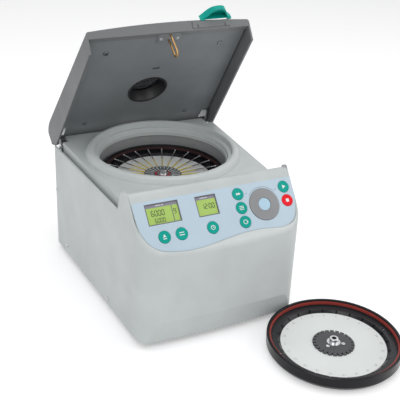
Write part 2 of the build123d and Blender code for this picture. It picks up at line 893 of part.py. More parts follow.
def make_casing_screws():
    """Screws through the feet and through the sides."""
    screws = [side_screw(side, y, z).solid() for side in (-1, 1) for y, z in side_screws]
    for x, y in foot_places:
        screw = upright(3.6, 2.6, 5.0, x, y)
        screw += upright(screw_shank_radius, 4.0, casing_bottom_z + tray_thickness + 4, x, y)
        screws.append(screw.solid())
    return Compound(children=screws)


# Rear panel
def make_rear_panel():
    y1 = rear_y - 0.8
    y0 = y1 - rear_panel_thickness
    wide = half_width(y0) - casing_wall - fit_gap
    panel = block(-wide, wide, y0, y1, casing_bottom_z + tray_thickness, side_top_z - 0.5)
    deck_side = hinge_x - 8
    panel += block(-deck_side, deck_side, y0, y1, 100, deck_z - deck_skin - fit_gap)
    for side in (-1, 1):
        x = side * (wide - 2.3)
        flange = block(x - 1, x + 1, y0 - 16, y1, 30, 130)
        panel += flange
        panel -= side_bore(side, side_screws[0][0], side_screws[0][1], screw_shank_radius + 0.1, 16)
        near = side * (hinge_x - 7)
        far = side * (rear_half_width + 5)
        panel -= block(min(near, far), max(near, far), 80, 130, groove_z - 2, 240)
    for row in range(6):
        for column in range(9):
            vent = Pos(vent_x + 9 * column, rear_y, 40 + 9 * row) * Rot(90, 0, 0)
            panel -= vent * Cylinder(2.6, 20)
    panel -= block(inlet_x - 13.7, inlet_x + 13.7, 90, 130, inlet_z - 10, inlet_z + 10)
    panel -= block(inlet_x - 13.2, inlet_x + 13.2, 90, 130, inlet_z - 26.4, inlet_z - 13.6)
    panel -= block(switch_x - 9.5, switch_x + 9.5, 90, 130, inlet_z - 13.5, inlet_z + 13.5)
    return panel


def make_inlet():
    """Inlet module: the three-blade well, the fuse bay and the switch bay."""
    face = rear_y - 0.8
    x, z = inlet_x, inlet_z
    flange = block(switch_x - 13, x + 17, face, face + 2.5, z - 30, z + 16)
    inlet = fillet(flange.edges().filter_by(Axis.Y), 3.0)
    inlet += block(x - 13.4, x + 13.4, face - 22, face + 1, z - 9.8, z + 9.8)
    inlet += block(x - 13.0, x + 13.0, face - 24, face + 1, z - 26.2, z - 13.8)
    inlet += block(switch_x - 9.3, switch_x + 9.3, face - 20, face + 1, z - 13.3, z + 13.3)
    well = block(x - 12, x + 12, face - 16, face + 5, z - 8, z + 8)
    inlet -= chamfer(well.edges().filter_by(Axis.Y).group_by(Axis.Z)[-1], 5.0)
    inlet -= block(x - 11.5, x + 11.5, face - 22, face + 5, z - 25, z - 15)
    inlet -= block(switch_x - 7, switch_x + 7, face - 14, face + 5, z - 12, z + 12)
    for across, up in ((0, 3.5), (-7, -2.5), (7, -2.5)):
        inlet += block(x + across - 1, x + across + 1, face - 17, face - 4, z + up - 2, z + up + 2)
    return inlet


def make_fuse_drawer():
    face_y = rear_y - 0.8
    drawer = block(inlet_x - 11.2, inlet_x + 11.2, face_y - 21, face_y + 2.5,
                   inlet_z - 24.7, inlet_z - 15.3)
    drawer += block(inlet_x - 4, inlet_x + 4, face_y + 2.4, face_y + 4.2,
                    inlet_z - 22.5, inlet_z - 20.5)
    drawer -= block(inlet_x - 9.5, inlet_x + 9.5, face_y - 19, face_y - 3,
                    inlet_z - 23, inlet_z - 10)
    return drawer


def make_rocker():
    """Rocker that tips either way about its middle."""
    pivot = rocker_pivot_y
    disc = Pos(switch_x, pivot, inlet_z) * Rot(0, 90, 0) * Cylinder(4.0, 13.4)
    bar = block(switch_x - 6.7, switch_x + 6.7, pivot - 1, pivot + 5.5,
                inlet_z - rocker_half_height, inlet_z + rocker_half_height)
    hollow = Pos(switch_x, pivot + 24.5, inlet_z) * Rot(0, 90, 0) * Cylinder(20.0, 40)
    rocker = disc + (bar - hollow)
    return rocker.rotate(Axis((switch_x, pivot, inlet_z), (1, 0, 0)), rocker_tilt)


def make_power_board():
    """Power board on four posts, with its transformer and capacitors."""
    low = casing_bottom_z + tray_thickness
    face = low + power_board_lift
    top = face + power_board_thickness
    x0 = power_board_left
    x1 = x0 + power_board_width
    y0 = power_board_front
    y1 = y0 + power_board_length
    board = block(x0, x1, y0, y1, face, top)
    for x in (x0 + 5, x1 - 5):
        for y in (y0 + 5, y1 - 5):
            board += upright(3, low, face, x, y)
    coil_start = y0 + 12
    coil_end = coil_start + transformer_length
    board += block(x0 + 8, x1 - 8, coil_start, coil_end, top, top + transformer_height)
    for x, beyond in ((x0 + 18, 34), (x0 + 18, 58), (x1 - 16, 46)):
        y = coil_end + beyond
        board += upright(capacitor_radius, top, top + capacitor_height, x, y)
    return board


# Lid, in its closed place
def at_lid(s, t):
    return (closed_y(s), closed_z(t))


def front_s(t):
    """How far forward the slanted front wall stands at height t."""
    return lid_nose_s + (lid_length - lid_nose_s) * t / lid_front_top


def lid_pitch():
    return (lid_peak_top - lid_front_top) / (lid_length - lid_peak_s)


def crown_prism(inset):
    """The lid's gentle arch from side to side, along its rising top."""
    wide = half_width(closed_y(lid_length)) + 20
    edge_drop = lid_crown * ((wide / half_width(closed_y(lid_length))) ** 2 - 1)
    deep = 160
    arch = make_face([
        ThreePointArc((-wide, -edge_drop), (0, lid_crown), (wide, -edge_drop)),
        Line((wide, -edge_drop), (wide, -deep)),
        Line((wide, -deep), (-wide, -deep)),
        Line((-wide, -deep), (-wide, -edge_drop)),
    ])
    y, z = at_lid(lid_length, lid_front_top - inset)
    rise = Vector(0, 1, lid_pitch()).normalized()
    place = Plane(origin=(0, y - 60, z - 60 * lid_pitch()), x_dir=(1, 0, 0), z_dir=-rise)
    return extrude(place * arch, -460)


def lid_plan(inset):
    front = closed_y(lid_length) + inset - (8.0 if inset == 0 else 0.0)
    back = closed_y(0) - inset + lid_ease
    front_w = half_width(front) - inset
    back_w = half_width(back) - inset
    face = Sketch() + make_face(Polyline(
        (-back_w, back), (-front_w, front), (front_w, front), (back_w, back), close=True))
    corners = face.vertices().sort_by(Axis.Y)[-2:]
    face = fillet(corners, max(lid_rear_round - inset, 1.0))
    return Pos(0, 0, 150) * extrude(face, 140, dir=(0, 0, 1))


def lid_mass(inset):
    """The lid as a solid block, moved in by inset on every side but the bottom."""
    over = lid_crown + 2.0
    low = 0.0 if inset == 0 else -8.0
    top_front = lid_front_top + over - inset
    top_peak = lid_peak_top + over - inset
    points = [
        at_lid(front_s(low) - inset * 1.06, low),
        at_lid(front_s(top_front) - inset * 1.06, top_front),
        at_lid(lid_peak_s, top_peak),
        at_lid(inset, lid_tail_top - inset),
    ]
    if inset == 0:
        points += [
            at_lid(0, lid_skirt),
            at_lid(lid_tail_low_s, lid_skirt),
            at_lid(lid_chamfer_s, 0),
        ]
    else:
        points.append(at_lid(inset, low))
    side = side_prism(points)
    shoulder = side.edges().filter_by(Axis.X).sort_by(
        lambda e: abs(e.center().Y - points[3][0]) + abs(e.center().Z - points[3][1]))[0]
    side = fillet(shoulder, lid_shoulder_round - inset)
    return side & lid_plan(inset) & crown_prism(inset)


def swing(shape):
    """Turn a closed lid piece to its open place."""
    axis = Axis((0, pivot_y, pivot_z), (1, 0, 0))
    return shape.rotate(axis, -lid_open_angle)


def make_lid_shell():
    outer = lid_mass(0)
    long_edges = outer.edges().filter_by(
        lambda e: e.center().Z > closed_z(24) and abs(e.center().X) > 100 and e.length > 60)
    outer = fillet(long_edges, lid_edge_round)
    shell = outer - lid_mass(lid_wall)
    front = closed_y(lid_length) - 2
    inner = half_width(closed_y(lid_nose_s)) - lid_wall
    lip_low = closed_z(lid_front_lip_low)
    shell -= block(-inner, inner, front, closed_y(lid_nose_s - 12), closed_z(-10), lip_low)
    lip = block(-inner - 1, inner + 1, closed_y(lid_length - 0.5), closed_y(lid_front_lip_s),
                lip_low, lip_low + lid_front_lip)
    lip -= block(-bail_notch, bail_notch, closed_y(bail_plate_front_s + fit_gap),
                 closed_y(lid_front_lip_s - 1), 150, 300)
    shell += lip & lid_mass(1.0)
    for x, s in panel_screws:
        boss = upright(4.0, closed_z(panel_low + panel_thickness), 300, x, closed_y(s))
        boss -= upright(screw_shank_radius, 100, closed_z(panel_low + 9.0), x, closed_y(s))
        shell += boss & lid_mass(1.0)
    return shell - upright(port_floor_radius + fit_gap, 150, 300, 0, closed_y(port_s))


def make_panel():
    """Flat lining of the lid, with the port and the bail's slot."""
    sheet = lid_mass(lid_wall + panel_gap) & block(
        -200, 200, closed_y(lid_front_lip_s - 1.0), closed_y(panel_rear_s),
        closed_z(panel_low), closed_z(panel_low + panel_thickness))
    sheet -= upright(port_radius + fit_gap, 150, 300, 0, closed_y(port_s))
    for x, s in panel_screws + bail_screws:
        sheet -= upright(screw_shank_radius + 0.1, 150, 300, x, closed_y(s))
    sheet -= upright(bail_wire + 0.4, 150, 300, 0, closed_y(bail_rear_s))
    mark = block(-mark_length / 2, mark_length / 2, closed_y(mark_s + 2), closed_y(mark_s - 2),
                 150, 300)
    return sheet - fillet(mark.edges().filter_by(Axis.Z), 1.9)


def lining_screw(x, s, seat, head_radius, length):
    """One screw that rises into the lid, its head under the face at height seat."""
    y = closed_y(s)
    head = upright(head_radius, seat - 1.4, seat, x, y)
    head = fillet(head.edges().group_by(Axis.Z)[0], 0.6)
    head -= upright(head_radius * 0.42, 100, seat - 0.6, x, y)
    return (head + upright(screw_shank_radius, seat - 0.2, seat + length, x, y)).solid()


def make_panel_screws():
    seat = closed_z(panel_low)
    screws = [lining_screw(x, s, seat, 4.2, 8.5) for x, s in panel_screws]
    low_seat = seat - seat_gap - bail_plate_thickness
    screws += [lining_screw(x, s, low_seat, 3.0, 6.0) for x, s in bail_screws]
    return Compound(children=screws)


def port_top_z():
    return closed_z(lid_front_top + lid_pitch() * (lid_length - port_s) + lid_crown)


def make_port():
    """Black funnel between the lining and the lid's top."""
    low = closed_z(panel_low)
    high = port_top_z() - lid_wall - 3.0
    outline = [
        (port_radius, low),
        (port_radius, low + 3),
        (port_floor_radius + 4, high),
        (port_floor_radius - 2, high),
        (port_floor_radius - 2, high - 1.5),
        (port_radius - port_wall, low),
    ]
    rim = tube(port_radius + port_lip, port_radius - port_wall, low - 1.0, low - seat_gap)
    neck = tube(port_radius, port_radius - port_wall, low - 1.0, low + 0.5)
    return Pos(0, closed_y(port_s), 0) * (spun(outline) + rim + neck)


def make_glass():
    """Round window let into the lid's skin."""
    middle = port_top_z() - 0.8 - glass_thickness / 2
    place = Pos(0, closed_y(port_s), middle) * Rot(degrees(atan(lid_pitch())), 0, 0)
    return place * Cylinder(port_floor_radius - 0.2, glass_thickness)


def make_bail():
    """Bent wire loop with its two legs one behind the other."""
    y0 = closed_y(bail_front_s)
    y1 = closed_y(bail_rear_s)
    top = closed_z(panel_low + panel_thickness + 2.0)
    bend = (y1 - y0) / 2
    turn = closed_z(bail_tip) + bail_wire + bend
    path = Wire([
        Edge.make_line((0, y0, top), (0, y0, turn)),
        Edge.make_three_point_arc((0, y0, turn), (0, y0 + bend, turn - bend), (0, y1, turn)),
        Edge.make_line((0, y1, turn), (0, y1, top)),
    ])
    section = Plane(origin=(0, y0, top), z_dir=(0, 0, -1)) * Circle(bail_wire)
    return sweep(section, path)


def make_bail_plate():
    """Plate under the lining that holds the bail's legs."""
    top = closed_z(panel_low) - seat_gap
    plate = block(-bail_notch + fit_gap, bail_notch - fit_gap, closed_y(bail_plate_front_s),
                  closed_y(bail_plate_rear_s), top - bail_plate_thickness, top)
    plate = fillet(plate.edges().filter_by(Axis.Z), 2.0)
    for s in (bail_front_s, bail_rear_s):
        plate -= upright(bail_wire, 100, 300, 0, closed_y(s))
    for x, s in bail_screws:
        plate -= upright(screw_shank_radius + 0.1, 100, 300, x, closed_y(s))
    return plate


def bell(half, reach):
    """A bell-shaped outline with a flared foot, its base on the X axis."""
    right = [(1.0, 0.0), (0.8, 0.12), (0.62, 0.38), (0.44, 0.74), (0.24, 0.94), (0.0, 1.0)]
    points = [(half * x, -reach * y) for x, y in right]
    points += [(-x, y) for x, y in reversed(points[:-1])]
    return make_face([Spline(*points), Line(points[-1], points[0])])


def make_handle():
    """Scooped pull, open below, on two feet at the lid's front wall."""
    back_s = front_s(lid_front_top + lid_crown) + 0.2
    y, z = at_lid(back_s, handle_base)
    wide = handle_half_width * 1.25
    deep = handle_reach * 1.2
    skin = handle_skin
    outer = scale(Sphere(1), by=(wide, deep, handle_rise))
    inner = scale(Sphere(1), by=(wide - skin, deep - skin, handle_rise - skin))
    body = extrude(bell(handle_half_width, handle_reach), 30, dir=(0, 0, 1)) & outer
    hollow = bell(handle_half_width - handle_rim, handle_reach - handle_rim - handle_back)
    hollow = Pos(0, -handle_back, -1) * extrude(hollow, 30, dir=(0, 0, 1))
    body -= hollow & inner
    foot = handle_foot
    top = handle_base + 1.0
    root = side_prism([
        at_lid(front_s(top) + 0.2, top),
        at_lid(front_s(foot) + 0.2, foot),
        at_lid(front_s(foot) + skin, foot),
        at_lid(back_s + skin, top),
    ], handle_tab)
    body = Pos(handle_x, y, z) * body
    for side in (-1, 1):
        body += Pos(handle_x + side * (handle_half_width - 0.5 * handle_tab - 1), 0, 0) * root
    return body


def make_handle_clip():
    """Carrier on the lid's front wall, just below the handle's root."""
    top = handle_foot - fit_gap
    half = clip_half_width
    plate = side_prism([
        at_lid(front_s(clip_low) + seat_gap, clip_low),
        at_lid(front_s(clip_low) + clip_thickness, clip_low),
        at_lid(front_s(top) + clip_thickness, top),
        at_lid(front_s(top) + seat_gap, top),
    ], 2 * half)
    for side in (-1, 1):
        y, z = at_lid(front_s(clip_low), clip_low)
        plate -= Pos(side * (half - 8), y, z) * Box(1.6, 12, 9)
    return Pos(clip_x, 0, 0) * plate


def make_hinge_arms():
    arms = []
    for side in (-1, 1):
        y_front = closed_y(17.0)
        profile = make_face(Polyline(
            (0, pivot_y - hinge_arm_radius, pivot_z),
            (0, pivot_y + hinge_arm_radius, pivot_z),
            (0, closed_y(8.0), closed_z(6.0)),
            (0, closed_y(8.0), closed_z(panel_low - 0.05)),
            (0, closed_y(40.0), closed_z(panel_low - 0.05)),
            (0, closed_y(40.0), closed_z(panel_low - 4.0)),
            (0, y_front, closed_z(panel_low - 12.0)),
            close=True))
        arm = extrude(profile, hinge_arm_thickness / 2, both=True, dir=(1, 0, 0))
        boss = Pos(0, pivot_y, pivot_z) * Rot(0, 90, 0) * Cylinder(
            hinge_arm_radius, hinge_arm_thickness)
        bore = Pos(0, pivot_y, pivot_z) * Rot(0, 90, 0) * Cylinder(
            hinge_pin_radius + running_gap, 30)
        foot = block(-side * 9 if side > 0 else 0, 0 if side > 0 else 9,
                     closed_y(40.0), closed_y(18.0),
                     closed_z(panel_low - 2.0), closed_z(panel_low - 0.05))
        arms.append((Pos(side * hinge_x, 0, 0) * (arm + boss + foot - bore)).solid())
    return arms


def make_brackets():
    """Steel brackets on the rear panel, one ear each side of a lid arm."""
    brackets = []
    y_back = rear_y - 0.8 - rear_panel_thickness
    reach = hinge_arm_thickness / 2 + hinge_ear_gap
    for side in (-1, 1):
        parts = None
        for ear_side in (-1, 1):
            x0 = ear_side * reach
            x1 = ear_side * (reach + hinge_ear)
            ear = block(min(x0, x1), max(x0, x1), pivot_y - 6, y_back,
                        pivot_z - 16, pivot_z - 8)
            ear += Pos((x0 + x1) / 2, pivot_y, pivot_z) * Rot(0, 90, 0) * Cylinder(6, hinge_ear)
            ear += block(min(x0, x1), max(x0, x1), pivot_y - 6, pivot_y + 6,
                         pivot_z - 16, pivot_z)
            ear -= Pos(0, pivot_y, pivot_z) * Rot(0, 90, 0) * Cylinder(hinge_pin_radius, 40)
            parts = ear if parts is None else parts + ear
        back = block(-reach - hinge_ear, reach + hinge_ear, y_back - 2, y_back,
                     pivot_z - 40, pivot_z - 8)
        brackets.append((Pos(side * hinge_x, 0, 0) * (parts + back)).solid())
    return Compound(children=brackets)


def make_hinge_pins():
    length = hinge_arm_thickness + 2 * (hinge_ear_gap + hinge_ear)
    pins = []
    for side in (-1, 1):
        pin = Cylinder(hinge_pin_radius, length)
        for end in (-1, 1):
            pin += Pos(0, 0, end * (length / 2 + 0.5)) * Cylinder(hinge_pin_radius + 1, 1.0)
        pins.append((Pos(side * hinge_x, pivot_y, pivot_z) * Rot(0, 90, 0) * pin).solid())
    return Compound(children=pins)


# Lid lock under the deck
def lock_middle_y():
    return (closed_y(bail_front_s) + closed_y(bail_rear_s)) / 2


def bolt_low_z():
    return closed_z(bail_tip) + 2 * bail_wire + bolt_lift


def make_lock_housing():
    middle = lock_middle_y()
    top = deck_z - deck_skin - seat_gap
    low = bolt_low_z()
    half = bolt_half_width + fit_gap
    body = block(lock_x0, lock_x1, middle - lock_half_depth, middle + lock_half_depth,
                 low - lock_wall, top)
    body -= block(lock_x0 + lock_wall, lock_x1 + 5, middle - half, middle + half,
                  low - fit_gap, low + bolt_height + fit_gap)
    return body - along_x(rod_radius + fit_gap, lock_x0 - 5, lock_x0 + 10)


def along_x(radius, x0, x1):
    """A cylinder along X through the lock bolt's middle."""
    z = bolt_low_z() + bolt_height / 2
    return Pos((x0 + x1) / 2, lock_middle_y(), z) * Rot(0, 90, 0) * Cylinder(radius, x1 - x0)


def make_lock_bolt():
    """Bolt that slides through the bail to hold the lid, with its rod."""
    middle = lock_middle_y()
    low = bolt_low_z()
    bolt = block(lock_x0 + lock_wall + 1.5, bolt_tip_x, middle - bolt_half_width,
                 middle + bolt_half_width, low, low + bolt_height)
    bolt = chamfer(bolt.faces().sort_by(Axis.X)[-1].edges(), 0.8)
    return bolt + along_x(rod_radius, lock_x0 - 20, lock_x0 + lock_wall + 2)


def make_solenoid():
    middle = lock_middle_y()
    z = bolt_low_z() + bolt_height / 2
    x1 = lock_x0 - seat_gap
    top = deck_z - deck_skin - seat_gap
    coil = block(x1 - 28, x1 - 3, middle - 8, middle + 8, z - 12, top - 0.6)
    coil = fillet(coil.edges().filter_by(Axis.X), 3.0)
    frame = block(x1 - 30, x1 - 28, middle - 9, middle + 9, z - 13.5, top)
    frame += block(x1 - 3, x1, middle - 9, middle + 9, z - 13.5, top)
    frame += block(x1 - 30, x1, middle - 9, middle + 9, z - 13.5, z - 12)
    return coil + frame - along_x(rod_radius + fit_gap, x1 - 26, x1 + 1)


# Write every node
save(make_casing(), "casing")
save(make_cover(), "deck_cover")
save(make_film(), "keypad_film")
for key_name, (key_across, key_down) in key_places.items():
    save(make_key(key_across, key_down), key_name)
save(make_board(), "control_board")
save(make_displays(), "display_modules")
save(make_dial_ring(), "dial_ring")
save(make_encoder(), "dial_encoder")
save(make_bowl(), "rotor_bowl")
save(make_collar(), "bowl_collar")

at_spindle = Pos(0, 0, rotor_z)
at_spare = Pos(spare_x, spare_y, 0)
rotor_pieces = {
    "dish": make_dish(),
    "gasket": make_gasket(),
    "number_disc": make_number_disc(),
    "hub_disc": make_hub_disc(),
    "hub_fasteners": make_hub_fasteners(),
}
for piece_name, piece in rotor_pieces.items():
    save(at_spindle * piece, "rotor_" + piece_name)
    save(at_spare * piece, "spare_" + piece_name)
save(at_spindle * make_tubes(), "capillary_tubes")

save(make_motor_case(), "motor_case")
save(make_winding(), "motor_winding")
save(make_shields(), "motor_shields")
save(make_bearings(), "motor_bearings")
save(make_shaft(), "motor_shaft")
save(make_core(), "motor_core")
save(make_fan(), "motor_fan")
save(make_motor_plate(), "motor_plate")
save(make_dampers(), "motor_dampers")

save(make_tray(), "base_tray")
save(make_feet(), "rubber_feet")
save(make_casing_screws(), "casing_screws")
save(make_rear_panel(), "rear_panel")
save(make_inlet(), "mains_inlet")
save(make_fuse_drawer(), "fuse_drawer")
save(make_rocker(), "switch_rocker")
save(make_power_board(), "power_board")

save(swing(make_lid_shell()), "lid_shell")
save(swing(make_panel()), "lid_lining")
save(swing(make_panel_screws()), "lining_screws")
save(swing(make_port()), "port_funnel")
save(swing(make_glass()), "sight_glass")
save(swing(make_bail()), "lock_bail")
save(swing(make_bail_plate()), "bail_plate")
save(swing(make_handle()), "lid_handle")
save(swing(make_handle_clip()), "handle_clip")
save(Compound(children=[swing(arm) for arm in make_hinge_arms()]), "hinge_arms")
save(make_brackets(), "hinge_brackets")
save(make_hinge_pins(), "hinge_pins")
save(make_lock_housing(), "lock_housing")
save(make_lock_bolt(), "lock_bolt")
save(make_solenoid(), "lock_solenoid")
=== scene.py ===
import math

import bpy
from mathutils import Matrix, Vector


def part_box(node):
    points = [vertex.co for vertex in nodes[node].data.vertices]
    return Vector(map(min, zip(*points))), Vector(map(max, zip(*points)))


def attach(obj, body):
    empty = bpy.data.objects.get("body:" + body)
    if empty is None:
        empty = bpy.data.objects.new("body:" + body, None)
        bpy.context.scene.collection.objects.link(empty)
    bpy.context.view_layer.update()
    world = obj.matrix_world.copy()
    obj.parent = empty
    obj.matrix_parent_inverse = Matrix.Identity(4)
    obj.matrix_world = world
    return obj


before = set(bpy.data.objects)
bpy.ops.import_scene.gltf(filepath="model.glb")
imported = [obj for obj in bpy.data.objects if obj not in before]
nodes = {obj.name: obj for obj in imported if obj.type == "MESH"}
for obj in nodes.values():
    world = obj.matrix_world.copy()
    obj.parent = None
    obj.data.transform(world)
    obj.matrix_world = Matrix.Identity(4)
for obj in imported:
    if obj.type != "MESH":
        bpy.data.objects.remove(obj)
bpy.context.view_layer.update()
print("frame loaded", len(nodes), "nodes")


# Small tools for node trees

def joinUp(tree, *pairs):
    for output, target in pairs:
        tree.links.new(output, target)


def addMath(tree, operation, first, second, clamp=False):
    # first is a socket, second a socket or a plain number
    node = tree.nodes.new("ShaderNodeMath")
    node.operation = operation
    node.use_clamp = clamp
    tree.links.new(first, node.inputs[0])
    if isinstance(second, float):
        node.inputs[1].default_value = second
    else:
        tree.links.new(second, node.inputs[1])
    return node.outputs[0]


# Camera: its place in metres, its turn in degrees
cameraValues = {
    "place": (-0.476014, -1.053057, 0.693537),
    "turn": (63.42453, -2.41509, -26.10244),
    "lens": 73.076,
    "sensor": 36.0,
    "farthest": 50.0,
}


def addCamera(values):
    data = bpy.data.cameras.new("camera")
    data.sensor_width = values["sensor"]
    data.lens = values["lens"]
    data.clip_end = values["farthest"]
    camera = bpy.data.objects.new("camera", data)
    bpy.context.scene.collection.objects.link(camera)
    camera.location = values["place"]
    camera.rotation_euler = [math.radians(angle) for angle in values["turn"]]
    bpy.context.scene.camera = camera


# Stage: cameraLift brightens the floor where it is seen and lights nothing, and a lamp is
# its name, place, size and watts
stageValues = {
    "floorHalf": 6.0,
    "floorColour": (0.86, 0.86, 0.87, 1.0),
    "cameraLift": 0.33,
    "worldLight": 0.46,
    "lampAim": (0.0, -0.05, 0.12),
    "lamps": [
        ("keyLamp", (-1.3, -1.5, 1.9), 1.5, 19.0),
        ("fillLamp", (1.9, -1.2, 1.3), 1.6, 14.0),
        ("topLamp", (0.1, 0.2, 2.3), 1.8, 16.0),
    ],
}


def seenRay(tree):
    # 1 for what the camera, a mirror or glass sees, 0 for light on the object
    path = tree.nodes.new("ShaderNodeLightPath")
    seen = addMath(tree, "MAXIMUM", path.outputs["Is Camera Ray"], path.outputs["Is Glossy Ray"])
    return addMath(tree, "MAXIMUM", seen, path.outputs["Is Transmission Ray"])


def addFloor(values):
    bpy.ops.object.select_all(action="DESELECT")
    bpy.ops.mesh.primitive_plane_add(size=2 * values["floorHalf"], location=(0, 0, 0))
    floor = bpy.context.object
    floor.name = "floor"
    material = bpy.data.materials.new("paleFloor")
    material.use_nodes = True
    tree = material.node_tree
    tree.nodes.clear()
    output = tree.nodes.new("ShaderNodeOutputMaterial")
    diffuse = tree.nodes.new("ShaderNodeBsdfDiffuse")
    diffuse.inputs["Color"].default_value = values["floorColour"]
    glow = tree.nodes.new("ShaderNodeEmission")
    both = tree.nodes.new("ShaderNodeAddShader")
    lift = addMath(tree, "MULTIPLY", seenRay(tree), values["cameraLift"])
    joinUp(
        tree,
        (lift, glow.inputs["Strength"]),
        (diffuse.outputs[0], both.inputs[0]),
        (glow.outputs[0], both.inputs[1]),
        (both.outputs[0], output.inputs["Surface"]),
    )
    floor.data.materials.append(material)


def addWorld(values):
    # a soft light on the object, and plain white behind it
    world = bpy.data.worlds.new("studio")
    bpy.context.scene.world = world
    world.use_nodes = True
    tree = world.node_tree
    background = tree.nodes["Background"]
    background.inputs["Color"].default_value = (1, 1, 1, 1)
    level = tree.nodes.new("ShaderNodeMapRange")
    level.inputs["To Min"].default_value = values["worldLight"]
    level.inputs["To Max"].default_value = 1.0
    tree.links.new(seenRay(tree), level.inputs["Value"])
    tree.links.new(level.outputs["Result"], background.inputs["Strength"])


def addLamps(values):
    for name, place, size, power in values["lamps"]:
        data = bpy.data.lights.new(name, "AREA")
        data.size = size
        data.energy = power
        lamp = bpy.data.objects.new(name, data)
        bpy.context.scene.collection.objects.link(lamp)
        lamp.location = place
        aim = Vector(values["lampAim"]) - Vector(place)
        lamp.rotation_euler = aim.to_track_quat("-Z", "Y").to_euler()


addCamera(cameraValues)
addFloor(stageValues)
addWorld(stageValues)
addLamps(stageValues)
bpy.context.scene.view_settings.view_transform = "Standard"
print("camera and stage done")


# Shader groups that several finishes share

def newGroup(name, inputs, outputs):
    group = bpy.data.node_groups.new(name, "ShaderNodeTree")
    for label, kind, value in inputs:
        socket = group.interface.new_socket(name=label, in_out="INPUT", socket_type=kind)
        socket.default_value = value
    for label, kind in outputs:
        group.interface.new_socket(name=label, in_out="OUTPUT", socket_type=kind)
    source = group.nodes.new("NodeGroupInput")
    sink = group.nodes.new("NodeGroupOutput")
    return group, source, sink


def addNoise(tree, vector, scale, detail):
    noise = tree.nodes.new("ShaderNodeTexNoise")
    noise.inputs["Detail"].default_value = detail
    tree.links.new(vector, noise.inputs["Vector"])
    tree.links.new(scale, noise.inputs["Scale"])
    return noise.outputs["Fac"]


def addRange(tree, value, low, high):
    # a noise's middle band, spread over 0 to 1
    spread = tree.nodes.new("ShaderNodeMapRange")
    spread.inputs["From Min"].default_value = low
    spread.inputs["From Max"].default_value = high
    tree.links.new(value, spread.inputs["Value"])
    return spread


def addBlend(tree, share, first, second):
    blend = tree.nodes.new("ShaderNodeMix")
    blend.data_type = "RGBA"
    joinUp(
        tree,
        (share, blend.inputs["Factor"]),
        (first, blend.inputs["A"]),
        (second, blend.inputs["B"]),
    )
    return blend.outputs["Result"]


def addBump(tree, height, strength, distance):
    bump = tree.nodes.new("ShaderNodeBump")
    bump.inputs["Distance"].default_value = distance
    tree.links.new(height, bump.inputs["Height"])
    tree.links.new(strength, bump.inputs["Strength"])
    return bump.outputs["Normal"]


surfaceOutputs = [
    ("Colour", "NodeSocketColor"),
    ("Roughness", "NodeSocketFloat"),
    ("Normal", "NodeSocketVector"),
]


def closeSurface(group, source, sink, blend, gloss, normal):
    # what a moulded and a brushed surface end in
    joinUp(
        group,
        (source.outputs["Gloss Low"], gloss.inputs["To Min"]),
        (source.outputs["Gloss High"], gloss.inputs["To Max"]),
        (blend, sink.inputs["Colour"]),
        (gloss.outputs["Result"], sink.inputs["Roughness"]),
        (normal, sink.inputs["Normal"]),
    )
    return group


def buildMouldedGroup():
    # mottled colour, uneven gloss and a fine moulded grain
    group, source, sink = newGroup("mouldedSurface", [
        ("Colour", "NodeSocketColor", (0.5, 0.5, 0.5, 1)),
        ("Second Colour", "NodeSocketColor", (0.45, 0.45, 0.45, 1)),
        ("Mottle Scale", "NodeSocketFloat", 18.0),
        ("Grain Scale", "NodeSocketFloat", 900.0),
        ("Depth", "NodeSocketFloat", 0.1),
        ("Gloss Low", "NodeSocketFloat", 0.4),
        ("Gloss High", "NodeSocketFloat", 0.5),
    ], surfaceOutputs)
    where = group.nodes.new("ShaderNodeTexCoord").outputs["Object"]
    mottle = addNoise(group, where, source.outputs["Mottle Scale"], 3.0)
    grain = addNoise(group, where, source.outputs["Grain Scale"], 1.0)
    share = addRange(group, mottle, 0.35, 0.65).outputs["Result"]
    blend = addBlend(group, share, source.outputs["Colour"], source.outputs["Second Colour"])
    gloss = addRange(group, mottle, 0.3, 0.7)
    normal = addBump(group, grain, source.outputs["Depth"], 0.0004)
    return closeSurface(group, source, sink, blend, gloss, normal)


def buildBrushedGroup():
    # fine lines along X, for drawn and turned metal
    group, source, sink = newGroup("brushedMetal", [
        ("Colour", "NodeSocketColor", (0.6, 0.6, 0.6, 1)),
        ("Second Colour", "NodeSocketColor", (0.5, 0.5, 0.5, 1)),
        ("Line Scale", "NodeSocketFloat", 700.0),
        ("Depth", "NodeSocketFloat", 0.15),
        ("Gloss Low", "NodeSocketFloat", 0.22),
        ("Gloss High", "NodeSocketFloat", 0.38),
    ], surfaceOutputs)
    where = group.nodes.new("ShaderNodeTexCoord").outputs["Object"]
    stretch = group.nodes.new("ShaderNodeMapping")
    stretch.inputs["Scale"].default_value = (0.06, 1.0, 1.0)
    group.links.new(where, stretch.inputs["Vector"])
    lines = addNoise(group, stretch.outputs[0], source.outputs["Line Scale"], 2.0)
    blend = addBlend(group, lines, source.outputs["Colour"], source.outputs["Second Colour"])
    gloss = addRange(group, lines, 0.0, 1.0)
    normal = addBump(group, lines, source.outputs["Depth"], 0.0002)
    return closeSurface(group, source, sink, blend, gloss, normal)


